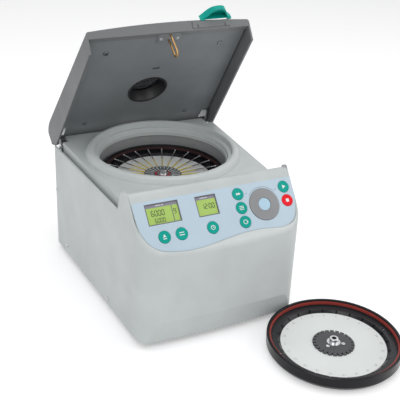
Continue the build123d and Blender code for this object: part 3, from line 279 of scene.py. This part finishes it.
def buildDustGroup():
    # pale dust that lies on faces that look up
    group, source, sink = newGroup("lyingDust", [
        ("Colour", "NodeSocketColor", (0.1, 0.1, 0.1, 1)),
        ("Dust", "NodeSocketColor", (0.5, 0.5, 0.48, 1)),
        ("Amount", "NodeSocketFloat", 0.15),
        ("Scale", "NodeSocketFloat", 60.0),
    ], [("Colour", "NodeSocketColor")])
    where = group.nodes.new("ShaderNodeTexCoord").outputs["Object"]
    speckle = addNoise(group, where, source.outputs["Scale"], 6.0)
    facing = group.nodes.new("ShaderNodeNewGeometry")
    split = group.nodes.new("ShaderNodeSeparateXYZ")
    group.links.new(facing.outputs["Normal"], split.inputs[0])
    sharp = addRange(group, speckle, 0.45, 0.8).outputs["Result"]
    upward = addMath(group, "MULTIPLY", split.outputs["Z"], sharp, clamp=True)
    amount = addMath(group, "MULTIPLY", upward, source.outputs["Amount"])
    blend = addBlend(group, amount, source.outputs["Colour"], source.outputs["Dust"])
    group.links.new(blend, sink.inputs["Colour"])
    return group


def buildRadiusGroup():
    # how far a point stands from an upright axis, as a share of a reach in metres
    group, source, sink = newGroup("axisRadius", [
        ("Centre", "NodeSocketVector", (0.0, 0.0, 0.0)),
        ("Reach", "NodeSocketFloat", 0.1),
    ], [("Share", "NodeSocketFloat")])
    where = group.nodes.new("ShaderNodeTexCoord").outputs["Object"]
    offset = group.nodes.new("ShaderNodeVectorMath")
    offset.operation = "SUBTRACT"
    flat = group.nodes.new("ShaderNodeVectorMath")
    flat.operation = "MULTIPLY"
    flat.inputs[1].default_value = (1.0, 1.0, 0.0)
    length = group.nodes.new("ShaderNodeVectorMath")
    length.operation = "LENGTH"
    joinUp(
        group,
        (where, offset.inputs[0]),
        (source.outputs["Centre"], offset.inputs[1]),
        (offset.outputs[0], flat.inputs[0]),
        (flat.outputs[0], length.inputs[0]),
    )
    share = addMath(group, "DIVIDE", length.outputs["Value"], source.outputs["Reach"])
    group.links.new(share, sink.inputs["Share"])
    return group


mouldedSurface = buildMouldedGroup()
axisRadius = buildRadiusGroup()
brushedMetal = buildBrushedGroup()
lyingDust = buildDustGroup()
print("shader groups done")


def addRings(tree, surface, rings, shade):
    # the finish's two colours follow the distance from an axis
    radius = tree.nodes.new("ShaderNodeGroup")
    radius.node_tree = axisRadius
    radius.inputs["Centre"].default_value = rings["centre"]
    ramp = tree.nodes.new("ShaderNodeValToRGB")
    stops = ramp.color_ramp.elements
    while len(stops) < len(rings["stops"]):
        stops.new(0.5)
    # all the places first, since a stop that moves changes the stops' order
    for stop, (share, ringColour) in zip(stops, rings["stops"]):
        stop.position = share
    for stop, (share, ringColour) in zip(stops, rings["stops"]):
        stop.color = (*ringColour, 1)
    darker = tree.nodes.new("ShaderNodeMix")
    darker.data_type = "RGBA"
    darker.blend_type = "MULTIPLY"
    darker.inputs["Factor"].default_value = 1.0
    darker.inputs["B"].default_value = (shade, shade, shade, 1)
    joinUp(
        tree,
        (radius.outputs["Share"], ramp.inputs["Fac"]),
        (ramp.outputs["Color"], surface.inputs["Colour"]),
        (ramp.outputs["Color"], darker.inputs["A"]),
        (darker.outputs["Result"], surface.inputs["Second Colour"]),
    )


# what a finish has where it doesn't say otherwise
plainValues = {"shade": 0.93, "glassBend": 1.49}


def makeFinish(name, look):
    # shade is the second colour's share of the first, clear how much light goes through,
    # and rings are colours by the distance from an upright axis
    material = bpy.data.materials.new(name)
    material.use_nodes = True
    tree = material.node_tree
    tree.nodes.clear()
    output = tree.nodes.new("ShaderNodeOutputMaterial")
    shader = tree.nodes.new("ShaderNodeBsdfPrincipled")
    surface = tree.nodes.new("ShaderNodeGroup")
    if look.get("kind") == "brushed":
        surface.node_tree = brushedMetal
        shader.inputs["Metallic"].default_value = 1.0
    else:
        surface.node_tree = mouldedSurface
    shade = look.get("shade", plainValues["shade"])
    low, high = look["gloss"]
    surface.inputs["Colour"].default_value = (*look["colour"], 1)
    surface.inputs["Second Colour"].default_value = (*(part * shade for part in look["colour"]), 1)
    surface.inputs["Gloss Low"].default_value = low
    surface.inputs["Gloss High"].default_value = high
    for key, socket in (("grain", "Grain Scale"), ("depth", "Depth")):
        if key in look:
            surface.inputs[socket].default_value = look[key]
    if "rings" in look:
        addRings(tree, surface, look["rings"], shade)
    colour = surface.outputs["Colour"]
    if "dust" in look:
        dust = tree.nodes.new("ShaderNodeGroup")
        dust.node_tree = lyingDust
        dust.inputs["Amount"].default_value = look["dust"]
        tree.links.new(colour, dust.inputs["Colour"])
        colour = dust.outputs["Colour"]
    joinUp(
        tree,
        (colour, shader.inputs["Base Color"]),
        (surface.outputs["Roughness"], shader.inputs["Roughness"]),
        (surface.outputs["Normal"], shader.inputs["Normal"]),
        (shader.outputs[0], output.inputs["Surface"]),
    )
    if "specular" in look:
        shader.inputs["Specular IOR Level"].default_value = look["specular"]
    if "clear" in look:
        shader.inputs["Transmission Weight"].default_value = look["clear"]
        shader.inputs["IOR"].default_value = plainValues["glassBend"]
    return material


finishes = {
    "casingGrey": {
        "colour": (0.60, 0.64, 0.635), "gloss": (0.38, 0.46), "grain": 1400.0, "depth": 0.05,
    },
    "coverGrey": {
        "colour": (0.52, 0.558, 0.555), "gloss": (0.40, 0.5), "grain": 1400.0, "depth": 0.06,
    },
    "lidGrey": {
        "colour": (0.155, 0.163, 0.169), "gloss": (0.38, 0.46), "grain": 1400.0, "depth": 0.05,
    },
    "liningGrey": {
        "colour": (0.215, 0.23, 0.242), "gloss": (0.5, 0.62), "grain": 1100.0, "depth": 0.12,
        "shade": 0.9,
    },
    "collarGrey": {
        "colour": (0.54, 0.575, 0.575), "gloss": (0.42, 0.55), "grain": 1600.0, "depth": 0.08,
    },
    "filmBlue": {
        "colour": (0.475, 0.59, 0.68), "gloss": (0.34, 0.42), "grain": 2500.0, "depth": 0.03,
        "shade": 0.97,
    },
    "teal": {
        "colour": (0.0, 0.345, 0.285), "gloss": (0.4, 0.5), "grain": 2000.0, "depth": 0.04,
        "specular": 0.2,
    },
    "signalRed": {
        "colour": (0.80, 0.004, 0.016), "gloss": (0.4, 0.5), "grain": 2000.0, "depth": 0.04,
        "specular": 0.2,
    },
    "dialGrey": {
        "colour": (0.25, 0.255, 0.265), "gloss": (0.4, 0.5), "grain": 2000.0, "depth": 0.06,
    },
    "capBlue": {
        "colour": (0.44, 0.64, 0.78), "gloss": (0.35, 0.45), "grain": 2000.0, "depth": 0.04,
    },
    "displayCase": {
        "colour": (0.40, 0.58, 0.13), "gloss": (0.15, 0.22), "grain": 300.0, "depth": 0.01,
    },
    "boardGreen": {
        "colour": (0.03, 0.16, 0.07), "gloss": (0.3, 0.45), "grain": 500.0, "depth": 0.15,
    },
    "coatedSteel": {
        "colour": (0.22, 0.23, 0.235), "gloss": (0.42, 0.55), "grain": 1500.0, "depth": 0.12,
    },
    "bowlSteel": {
        "colour": (0.30, 0.31, 0.315), "gloss": (0.3, 0.42), "grain": 900.0, "depth": 0.08,
    },
    "castAluminium": {
        "kind": "brushed", "colour": (0.60, 0.61, 0.62), "gloss": (0.35, 0.5), "shade": 0.85,
    },
    "brightSteel": {
        "kind": "brushed", "colour": (0.66, 0.67, 0.68), "gloss": (0.16, 0.28), "shade": 0.85,
    },
    "screwSteel": {
        "kind": "brushed", "colour": (0.6, 0.6, 0.6), "gloss": (0.3, 0.42), "shade": 0.85,
        "rings": {
            "centre": (0.0, -0.01, 0.0),
            "stops": [
                (0.40, (0.62, 0.63, 0.64)), (0.55, (0.23, 0.24, 0.25)),
            ],
        },
    },
    "blackRubber": {
        "colour": (0.016, 0.016, 0.017), "gloss": (0.6, 0.75), "grain": 900.0, "depth": 0.25,
        "dust": 0.12,
    },
    "blackPlastic": {
        "colour": (0.018, 0.018, 0.02), "gloss": (0.32, 0.45), "grain": 1200.0, "depth": 0.1,
    },
    "rotorBlack": {
        "colour": (0.006, 0.006, 0.008), "gloss": (0.22, 0.32), "grain": 1300.0, "depth": 0.04,
        "specular": 0.22,
    },
    "hubBlack": {
        "colour": (0.045, 0.047, 0.052), "gloss": (0.35, 0.45), "grain": 1300.0, "depth": 0.06,
    },
    "gasketRed": {
        "colour": (0.30, 0.03, 0.02), "gloss": (0.5, 0.65), "grain": 1300.0, "depth": 0.12,
    },
    "discWhite": {
        "colour": (0.73, 0.76, 0.75), "gloss": (0.35, 0.45), "grain": 1300.0, "depth": 0.03,
        "shade": 0.96,
    },
    "brassWire": {
        "kind": "brushed", "colour": (0.50, 0.30, 0.12), "gloss": (0.25, 0.38), "shade": 0.8,
    },
    # the mounted rotor's gasket: the spare rotor's red gasket darkened almost to black, painted
    # shade inside the bowl
    "gasketRedInShade": {
        "colour": (0.035, 0.010, 0.010), "gloss": (0.5, 0.65), "grain": 1300.0, "depth": 0.12,
    },
    "smokedWindow": {
        "colour": (0.055, 0.06, 0.065), "gloss": (0.05, 0.08), "depth": 0.0, "clear": 0.6,
    },
    # tube glass: its pale grey and white, in the base colour and the rings near the hub and over
    # the ledge, is painted reflection of the white surroundings on clear glass; the yellow and
    # dark brown rings are the tubes' own colours
    "tubeGlass": {
        "colour": (0.8, 0.82, 0.82), "gloss": (0.05, 0.09), "depth": 0.0, "clear": 0.12,
        "rings": {
            "centre": (0.0, 0.0, 0.0),
            "stops": [
                (0.27, (0.80, 0.82, 0.82)), (0.31, (0.72, 0.56, 0.03)),
                (0.52, (0.66, 0.50, 0.03)), (0.56, (0.11, 0.07, 0.07)),
                (0.70, (0.16, 0.12, 0.12)), (0.75, (0.30, 0.31, 0.32)),
                (0.84, (0.42, 0.44, 0.45)), (0.86, (0.72, 0.74, 0.74)),
            ],
        },
    },
    "spareBlack": {
        "colour": (0.008, 0.008, 0.01), "gloss": (0.2, 0.3), "grain": 1300.0, "depth": 0.04,
        "specular": 0.25,
        "rings": {
            "centre": (0.1283, -0.312, 0.0),
            "stops": [
                (0.775, (0.006, 0.006, 0.008)), (0.80, (0.030, 0.032, 0.036)),
                (0.885, (0.030, 0.032, 0.036)), (0.90, (0.006, 0.006, 0.008)),
            ],
        },
    },
    "markRed": {
        "colour": (0.62, 0.02, 0.05), "gloss": (0.35, 0.45), "grain": 1300.0, "depth": 0.05,
    },
    "plateSilver": {
        "colour": (0.55, 0.56, 0.56), "gloss": (0.3, 0.42), "grain": 1300.0, "depth": 0.03,
    },
    "labelGrey": {
        "colour": (0.235, 0.22, 0.28), "gloss": (0.4, 0.5), "grain": 2000.0, "depth": 0.03,
    },
    "bezelGrey": {
        "colour": (0.14, 0.135, 0.16), "gloss": (0.4, 0.5), "grain": 2000.0, "depth": 0.03,
    },
    "digitDark": {
        "colour": (0.05, 0.085, 0.03), "gloss": (0.3, 0.4), "grain": 2000.0, "depth": 0.02,
    },
    "printWhite": {
        "colour": (0.75, 0.82, 0.8), "gloss": (0.45, 0.55), "grain": 3000.0, "depth": 0.05,
    },
    "printGrey": {
        "colour": (0.19, 0.22, 0.30), "gloss": (0.45, 0.55), "grain": 3000.0, "depth": 0.05,
    },
    "numberGrey": {
        "colour": (0.33, 0.36, 0.36), "gloss": (0.45, 0.55), "grain": 3000.0, "depth": 0.05,
    },
}
materials = {name: makeFinish(name, look) for name, look in finishes.items()}

# which solids wear each finish
nodeFinishes = {
    "casingGrey": ["casing"],
    "coverGrey": ["deck_cover"],
    "lidGrey": ["lid_shell", "handle_clip"],
    "liningGrey": ["lid_lining", "bail_plate"],
    "collarGrey": ["bowl_collar"],
    "filmBlue": ["keypad_film"],
    "teal": ["key_open_lid", "key_select", "key_time", "key_quick", "key_program", "key_recall",
             "key_start", "lid_handle"],
    "signalRed": ["key_stop"],
    "dialGrey": ["dial_ring"],
    "capBlue": ["dial_encoder"],
    "displayCase": ["display_modules"],
    "boardGreen": ["control_board", "power_board"],
    "coatedSteel": ["base_tray", "rear_panel", "motor_plate"],
    "bowlSteel": ["rotor_bowl"],
    "castAluminium": ["motor_case", "motor_shields", "motor_fan"],
    "brightSteel": ["motor_winding", "motor_core", "motor_bearings", "motor_shaft",
                    "hinge_brackets", "hinge_arms", "hinge_pins", "casing_screws",
                    "rotor_hub_fasteners", "spare_hub_fasteners", "lock_bolt", "lock_solenoid"],
    "screwSteel": ["lining_screws"],
    "blackRubber": ["motor_dampers", "rubber_feet"],
    "blackPlastic": ["mains_inlet", "fuse_drawer", "switch_rocker", "lock_housing", "port_funnel"],
    "smokedWindow": ["sight_glass"],
    "brassWire": ["lock_bail"],
    "rotorBlack": ["rotor_dish"],
    "spareBlack": ["spare_dish"],
    "hubBlack": ["rotor_hub_disc", "spare_hub_disc"],
    "gasketRed": ["spare_gasket"],
    "gasketRedInShade": ["rotor_gasket"],
    "discWhite": ["rotor_number_disc", "spare_number_disc"],
    "tubeGlass": ["capillary_tubes"],
}


def paintNode(name, material):
    node = nodes[name]
    if not node.material_slots:
        node.data.materials.append(material)
    for place in node.material_slots:
        place.material = material


for finishName, nodeNames in nodeFinishes.items():
    for nodeName in nodeNames:
        paintNode(nodeName, materials[finishName])
print("finishes done", len(materials))


# Tools for the pieces that are modelled here, all in millimetres

def mm(*values):
    return tuple(value / 1000 for value in values)


def pickOnly(*pieces):
    bpy.ops.object.select_all(action="DESELECT")
    for piece in pieces:
        piece.select_set(True)
    bpy.context.view_layer.objects.active = pieces[0]


def openMesh():
    bpy.ops.object.mode_set(mode="EDIT")
    bpy.ops.mesh.select_all(action="SELECT")


def closeMesh():
    bpy.ops.mesh.select_all(action="SELECT")
    bpy.ops.mesh.normals_make_consistent(inside=False)
    bpy.ops.object.mode_set(mode="OBJECT")


def raiseMesh(thick):
    # what is selected gets its thickness
    bpy.ops.mesh.extrude_region_move(TRANSFORM_OT_translate={"value": mm(0, 0, thick)})
    closeMesh()


def joinInto(pieces):
    pickOnly(*pieces)
    if len(pieces) > 1:
        bpy.ops.object.join()
    return bpy.context.object


def copyPiece(piece):
    # a copy with its own mesh
    twin = piece.copy()
    twin.data = piece.data.copy()
    bpy.context.scene.collection.objects.link(twin)
    return twin


def settle(piece, name, finish, body, place):
    # bake the placing into the mesh, then dress the piece and tie it to its body
    pickOnly(piece)
    bpy.ops.object.transform_apply(location=True, rotation=True, scale=True)
    piece.data.transform(place)
    piece.name = name
    piece.data.materials.clear()
    piece.data.materials.append(materials[finish])
    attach(piece, body)


def addSheet(across, up, out, width, height):
    bpy.ops.mesh.primitive_plane_add(size=1, location=mm(across, up, out))
    sheet = bpy.context.object
    sheet.scale = mm(width, height, 1000)
    bpy.ops.object.transform_apply(location=False, rotation=False, scale=True)
    return sheet


def addPlate(across, up, out, width, height, thick, round=0.0):
    # a thin plate with rounded corners, its underside at out
    plate = addSheet(across, up, out, width, height)
    openMesh()
    if round:
        bpy.ops.mesh.bevel(offset=round / 1000, segments=3, affect="VERTICES")
    raiseMesh(thick)
    return plate


def addFrame(across, up, out, width, height, thick, edge):
    # a thin frame: the outline is inset, its middle taken out and the rest raised
    outline = addSheet(across, up, out, width, height)
    openMesh()
    bpy.ops.mesh.inset(thickness=edge / 1000, depth=0)
    bpy.ops.mesh.delete(type="FACE")
    bpy.ops.mesh.select_all(action="SELECT")
    raiseMesh(thick)
    return outline


def addTriangle(across, up, out, radius, thick, turn):
    # a flat triangle that points to the right at a turn of 0
    bpy.ops.mesh.primitive_cylinder_add(
        vertices=3, radius=radius / 1000, depth=thick / 1000,
        location=mm(across, up, out + thick / 2), rotation=(0, 0, math.radians(turn - 90.0)))
    return bpy.context.object


def addRing(across, up, out, outer, inner, thick, start=0.0, sweep=360.0, steps=48):
    # a flat ring, or an arc of one, spun from its small cross-section
    bpy.ops.mesh.primitive_plane_add(size=1, location=(0, 0, 0), rotation=(math.pi / 2, 0, 0))
    ring = bpy.context.object
    ring.scale = mm(outer - inner, thick, 1000)
    ring.location = mm((outer + inner) / 2, 0, thick / 2)
    bpy.ops.object.transform_apply(location=True, rotation=True, scale=True)
    openMesh()
    bpy.ops.mesh.spin(
        steps=steps, angle=math.radians(sweep), center=(0, 0, 0), axis=(0, 0, 1), dupli=False)
    bpy.ops.mesh.select_all(action="SELECT")
    bpy.ops.mesh.remove_doubles(threshold=1e-7)
    if sweep == 360.0:
        # a full turn leaves the first cross-section inside
        bpy.ops.mesh.select_all(action="DESELECT")
        bpy.ops.mesh.select_interior_faces()
        bpy.ops.mesh.delete(type="FACE")
    closeMesh()
    ring.rotation_euler = (0, 0, math.radians(start))
    ring.location = mm(across, up, out)
    return ring


# The keypad slope: local X runs across, Y up the slope and Z out of its face
slopeValues = {"y": -164.9, "z": 215.85, "tilt": 48.66}


def slopeMatrix(values):
    tilt = math.radians(values["tilt"])
    across = (1, 0, 0)
    up = (0, math.cos(tilt), math.sin(tilt))
    out = (0, -math.sin(tilt), math.cos(tilt))
    turn = Matrix((across, up, out)).transposed().to_4x4()
    return Matrix.Translation(mm(0, values["y"], values["z"])) @ turn


onSlope = slopeMatrix(slopeValues)


# Displays: a window is left, right, top and bottom on the slope, as in the solids, and
# a number is across, up, its height and its digits
displayValues = {
    "windows": [(-105.0, -56.5, 13.0, 42.5), (-31.5, 0.0, 14.0, 43.0)],
    "paneOut": -1.6,
    "clearance": 0.35,
    "labelHeight": 5.0,
    "labelThick": 0.25,
    "round": 0.2,
    "frameEdge": 1.0,
    "frameThick": 1.1,
    "divider": 0.79,
    "dividerWide": 1.1,
    "dividerThick": 0.2,
    "markRows": [(-4.5, 7.0), (1.5, 3.0)],
    "markDown": 2.9,
    "markHeight": 0.9,
    "markThick": 0.06,
    "numbers": [
        (-97.0, -30.0, 7.4, "6000"),
        (-93.8, -39.4, 5.8, "6000"),
        (-64.6, -30.6, 6.6, "9"),
        (-23.2, -32.6, 6.8, "12:00"),
    ],
}

# A digit's measures are shares of its height. Its bars are lit in the order top, upper
# right, lower right, foot, lower left, upper left, middle
digitValues = {
    "wide": 0.44,
    "bar": 0.15,
    "corner": 0.3,
    "step": 0.68,
    "dot": 0.13,
    "dotLifts": (0.3, 0.7),
    "dotStep": 0.24,
    "thick": 0.08,
    "bars": {
        "0": "1111110", "1": "0110000", "2": "1101101", "6": "1011111", "9": "1111011",
    },
}


def addDigit(sign, across, up, out, tall, values):
    # one digit, its lower left corner at across and up
    wide = tall * values["wide"]
    thin = tall * values["bar"]
    places = [
        (wide / 2, tall, True), (wide, tall * 0.75, False), (wide, tall * 0.25, False),
        (wide / 2, 0, True), (0, tall * 0.25, False), (0, tall * 0.75, False),
        (wide / 2, tall / 2, True),
    ]
    pieces = []
    for lit, (x, y, flat) in zip(values["bars"][sign], places):
        if lit == "1":
            long = (wide if flat else tall / 2) - thin / 2
            size = (long, thin) if flat else (thin, long)
            pieces.append(addPlate(
                across + x, up + y, out, *size, values["thick"], thin * values["corner"]))
    return pieces


def addNumber(across, up, out, tall, number, values):
    pieces = []
    for sign in number:
        if sign == ":":
            dot = tall * values["dot"]
            for lift in values["dotLifts"]:
                pieces.append(addPlate(across, up + tall * lift, out, dot, dot, values["thick"]))
            across += tall * values["dotStep"]
        else:
            pieces += addDigit(sign, across, up, out, tall, values)
            across += tall * values["step"]
    return pieces


def addDisplays(values, digits):
    out = values["paneOut"]
    high = values["labelHeight"]
    gap = values["clearance"]
    labels = []
    frames = []
    marks = []
    for left, right, top, bottom in values["windows"]:
        middle = (left + right) / 2
        wide = right - left - 2 * gap
        labels.append(addPlate(
            middle, -top - high / 2 - gap, out, wide, high, values["labelThick"], values["round"]))
        frames.append(addFrame(
            middle, -(top + bottom) / 2, out, wide, bottom - top - 2 * gap,
            values["frameThick"], values["frameEdge"]))
        for shift, long in values["markRows"]:
            marks.append(addPlate(
                middle + shift, -top - values["markDown"], out + values["labelThick"], long,
                values["markHeight"], values["markThick"], values["round"]))
    left, right, top, bottom = values["windows"][0]
    frames.append(addPlate(
        left + (right - left) * values["divider"], -(top + bottom + high) / 2, out,
        values["dividerWide"], bottom - top - high, values["dividerThick"]))
    bars = []
    for across, up, tall, number in values["numbers"]:
        bars += addNumber(across, up, out, tall, number, digits)
    for pieces, name, finish in (
            (labels, "display_labels", "labelGrey"),
            (frames, "display_frames", "bezelGrey"),
            (marks, "display_label_marks", "printWhite"),
            (bars, "display_digits", "digitDark")):
        settle(joinInto(pieces), name, finish, "base", onSlope)


# Key marks: plain pictograms, each a list of shapes about the key's middle. A bar gives
# its place, width and height, a ring its place, outer and inner radius, and a triangle
# its place, radius and turn
keyValues = {
    "top": 0.6,
    "thick": 0.08,
    "round": 0.25,
    "places": {
        "key_open_lid": (-87.5, 60.0), "key_select": (-62.5, 60.0), "key_time": (-16.0, 60.0),
        "key_quick": (33.8, 20.8), "key_program": (33.8, 41.0), "key_recall": (33.8, 61.2),
        "key_start": (107.2, 21.8), "key_stop": (107.2, 42.2),
    },
    "signs": {
        "key_open_lid": [("triangle", 0.0, 1.1, 2.7, 90.0), ("bar", 0.0, -2.4, 5.4, 1.2)],
        "key_select": [("bar", 0.0, 1.7, 7.2, 1.2), ("bar", 0.0, -1.6, 7.2, 1.2)],
        "key_time": [("ring", 0.0, 0.0, 3.3, 2.5), ("bar", 0.0, 0.9, 0.8, 2.2),
                     ("bar", 0.8, 0.0, 1.9, 0.8)],
        "key_quick": [("triangle", -1.5, 0.0, 2.4, 0.0), ("triangle", 1.7, 0.0, 2.4, 0.0)],
        "key_program": [("bar", 0.0, 2.2, 6.6, 1.0), ("bar", 0.0, 0.0, 6.6, 1.0),
                        ("bar", 0.0, -2.2, 6.6, 1.0)],
        "key_recall": [("ring", 0.0, 0.0, 3.3, 2.4), ("triangle", 3.0, -0.4, 1.7, -90.0)],
        "key_start": [("triangle", -0.2, 0.0, 3.4, 0.0)],
        "key_stop": [("bar", 0.0, 0.0, 4.6, 4.6)],
    },
}


def addKeySigns(values):
    out = values["top"]
    thick = values["thick"]
    for key, (across, down) in values["places"].items():
        shapes = []
        for kind, x, y, first, second in values["signs"][key]:
            place = (across + x, y - down, out)
            if kind == "bar":
                shapes.append(addPlate(*place, first, second, thick, values["round"]))
            elif kind == "ring":
                shapes.append(addRing(*place, first, second, thick))
            else:
                shapes.append(addTriangle(*place, first, thick, second))
        settle(joinInto(shapes), key + "_sign", "printWhite", key + "_cap", onSlope)


# Printed arc over the dial, with a minus at its left end and a plus at its right
arcValues = {
    "across": 70.0,
    "down": 41.6,
    "radius": 25.2,
    "line": 0.6,
    "from": 143.0,
    "sweep": 107.0,
    "steps": 40,
    "minus": (47.3, 22.3),
    "plus": (93.4, 23.3),
    "mark": 2.4,
    "thick": 0.06,
    "crossThick": 0.07,
}


def addDialPrint(values):
    line = values["line"]
    mark = values["mark"]
    thick = values["thick"]
    left, leftDown = values["minus"]
    right, rightDown = values["plus"]
    shapes = [
        addRing(
            values["across"], -values["down"], 0.0, values["radius"] + line, values["radius"],
            thick, values["from"], values["sweep"], values["steps"]),
        addPlate(left, -leftDown, 0.0, mark, line, thick),
        addPlate(right, -rightDown, 0.0, mark, line, thick),
        addPlate(right, -rightDown, 0.0, line, mark, values["crossThick"]),
    ]
    settle(joinInto(shapes), "dial_print", "printGrey", "base", onSlope)


addDisplays(displayValues, digitValues)
addKeySigns(keyValues)
addDialPrint(arcValues)
print("keypad print done")


# Rotors: the middle of each one's underside, from which its prints are placed
rotorPlaces = {
    "rotor": (0.0, 0.0, 147.3),
    "spare_rotor": (128.3, -312.0, 0.0),
}

# Numbers round the rotors' white discs
numberValues = {
    "count": 24,
    "radius": 68.5,
    "height": 5.4,
    "top": 10.5,
    "thick": 0.06,
}


def onRotor(body):
    return Matrix.Translation(mm(*rotorPlaces[body]))


def addNumbers(values):
    numbers = []
    for index in range(values["count"]):
        curve = bpy.data.curves.new("number", "FONT")
        curve.body = str(index + 1)
        curve.size = values["height"] / 1000
        curve.align_x = "CENTER"
        curve.align_y = "CENTER"
        curve.resolution_u = 2
        number = bpy.data.objects.new("number", curve)
        bpy.context.scene.collection.objects.link(number)
        pickOnly(number)
        bpy.ops.object.convert(target="MESH")
        number = bpy.context.object
        turn = math.radians(360 / values["count"] * (index + 0.5))
        radius = values["radius"]
        number.location = mm(radius * math.cos(turn), radius * math.sin(turn), values["top"])
        number.rotation_euler = (0, 0, turn - math.pi / 2)
        numbers.append(number)
    ring = joinInto(numbers)
    bpy.ops.object.transform_apply(location=True, rotation=True, scale=True)
    openMesh()
    raiseMesh(values["thick"])
    for piece, body in zip((ring, copyPiece(ring)), rotorPlaces):
        settle(piece, body + "_numbers", "numberGrey", body, onRotor(body))


addNumbers(numberValues)
print("numbers done")


# Prints on the rotors: ticks on the mounted hub with a red ring about its nut, and
# plain marks on the spare rotor's ledge. A tick is inner radius, outer radius and width,
# a ledge mark its angle and its length along the ledge
rotorPrintValues = {
    "hubTop": 12.5,
    "ticks": 24,
    "tick": (14.0, 27.0, 1.3),
    "redRing": (12.2, 10.2),
    "redRingThick": 0.3,
    "ledgeTop": 14.0,
    "ledgeRadius": 83.7,
    "ledgeMarks": [(172.0, 4.4), (176.5, 1.6), (181.0, 4.4), (-8.0, 4.4), (-3.5, 1.6), (1.0, 4.4)],
    "ledgeMarkWide": 1.0,
    "corner": 0.3,
    "thick": 0.08,
}


def addRadialBar(angle, radius, out, long, wide, values):
    bar = addPlate(0, 0, out, long, wide, values["thick"], wide * values["corner"])
    turn = math.radians(angle)
    bar.location = mm(radius * math.cos(turn), radius * math.sin(turn), out)
    bar.rotation_euler = (0, 0, turn)
    return bar


def addRotorPrints(values):
    inner, outer, wide = values["tick"]
    ticks = [
        addRadialBar(360 / values["ticks"] * index, (inner + outer) / 2, values["hubTop"],
                     outer - inner, wide, values)
        for index in range(values["ticks"])
    ]
    settle(joinInto(ticks), "rotor_hub_ticks", "printWhite", "rotor",
           onRotor("rotor"))
    ring = addRing(0, 0, values["hubTop"], *values["redRing"], values["redRingThick"])
    settle(ring, "rotor_hub_ring", "markRed", "rotor", onRotor("rotor"))
    marks = [
        addRadialBar(angle, values["ledgeRadius"], values["ledgeTop"], values["ledgeMarkWide"],
                     along, values)
        for angle, along in values["ledgeMarks"]
    ]
    settle(joinInto(marks), "spare_rotor_marks", "printWhite", "spare_rotor",
           onRotor("spare_rotor"))


addRotorPrints(rotorPrintValues)
print("rotor prints done")


# Rear panel: a blank rating plate with rows of plain bars, each a length and a height
rearValues = {
    "plate": (-2.0, 120.0, 62.0, 34.0),
    "plateThick": 0.4,
    "plateRound": 2.0,
    "rows": [(20.0, 2.4), (44.0, 1.4), (30.0, 1.4), (48.0, 1.4), (26.0, 1.4)],
    "rowsIn": 5.0,
    "rowsDown": 6.0,
    "rowStep": 5.4,
    "rowThick": 0.06,
}


def addRearPrint(values, panel):
    # local X runs to the right as seen from behind, Y up and Z out of the panel
    turn = Matrix(((-1, 0, 0), (0, 0, 1), (0, 1, 0))).transposed().to_4x4()
    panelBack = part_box(panel)[1][1]
    face = Matrix.Translation((0, panelBack, 0)) @ turn
    across, up, wide, tall = values["plate"]
    thick = values["plateThick"]
    plate = addPlate(across, up, 0, wide, tall, thick, values["plateRound"])
    settle(plate, "rating_plate", "plateSilver", "base", face)
    left = across - wide / 2 + values["rowsIn"]
    top = up + tall / 2 - values["rowsDown"]
    rows = [
        addPlate(left + long / 2, top - values["rowStep"] * index, thick, long, high,
                 values["rowThick"])
        for index, (long, high) in enumerate(values["rows"])
    ]
    settle(joinInto(rows), "rating_rows", "printGrey", "base", face)


addRearPrint(rearValues, "rear_panel")
print("rear print done")
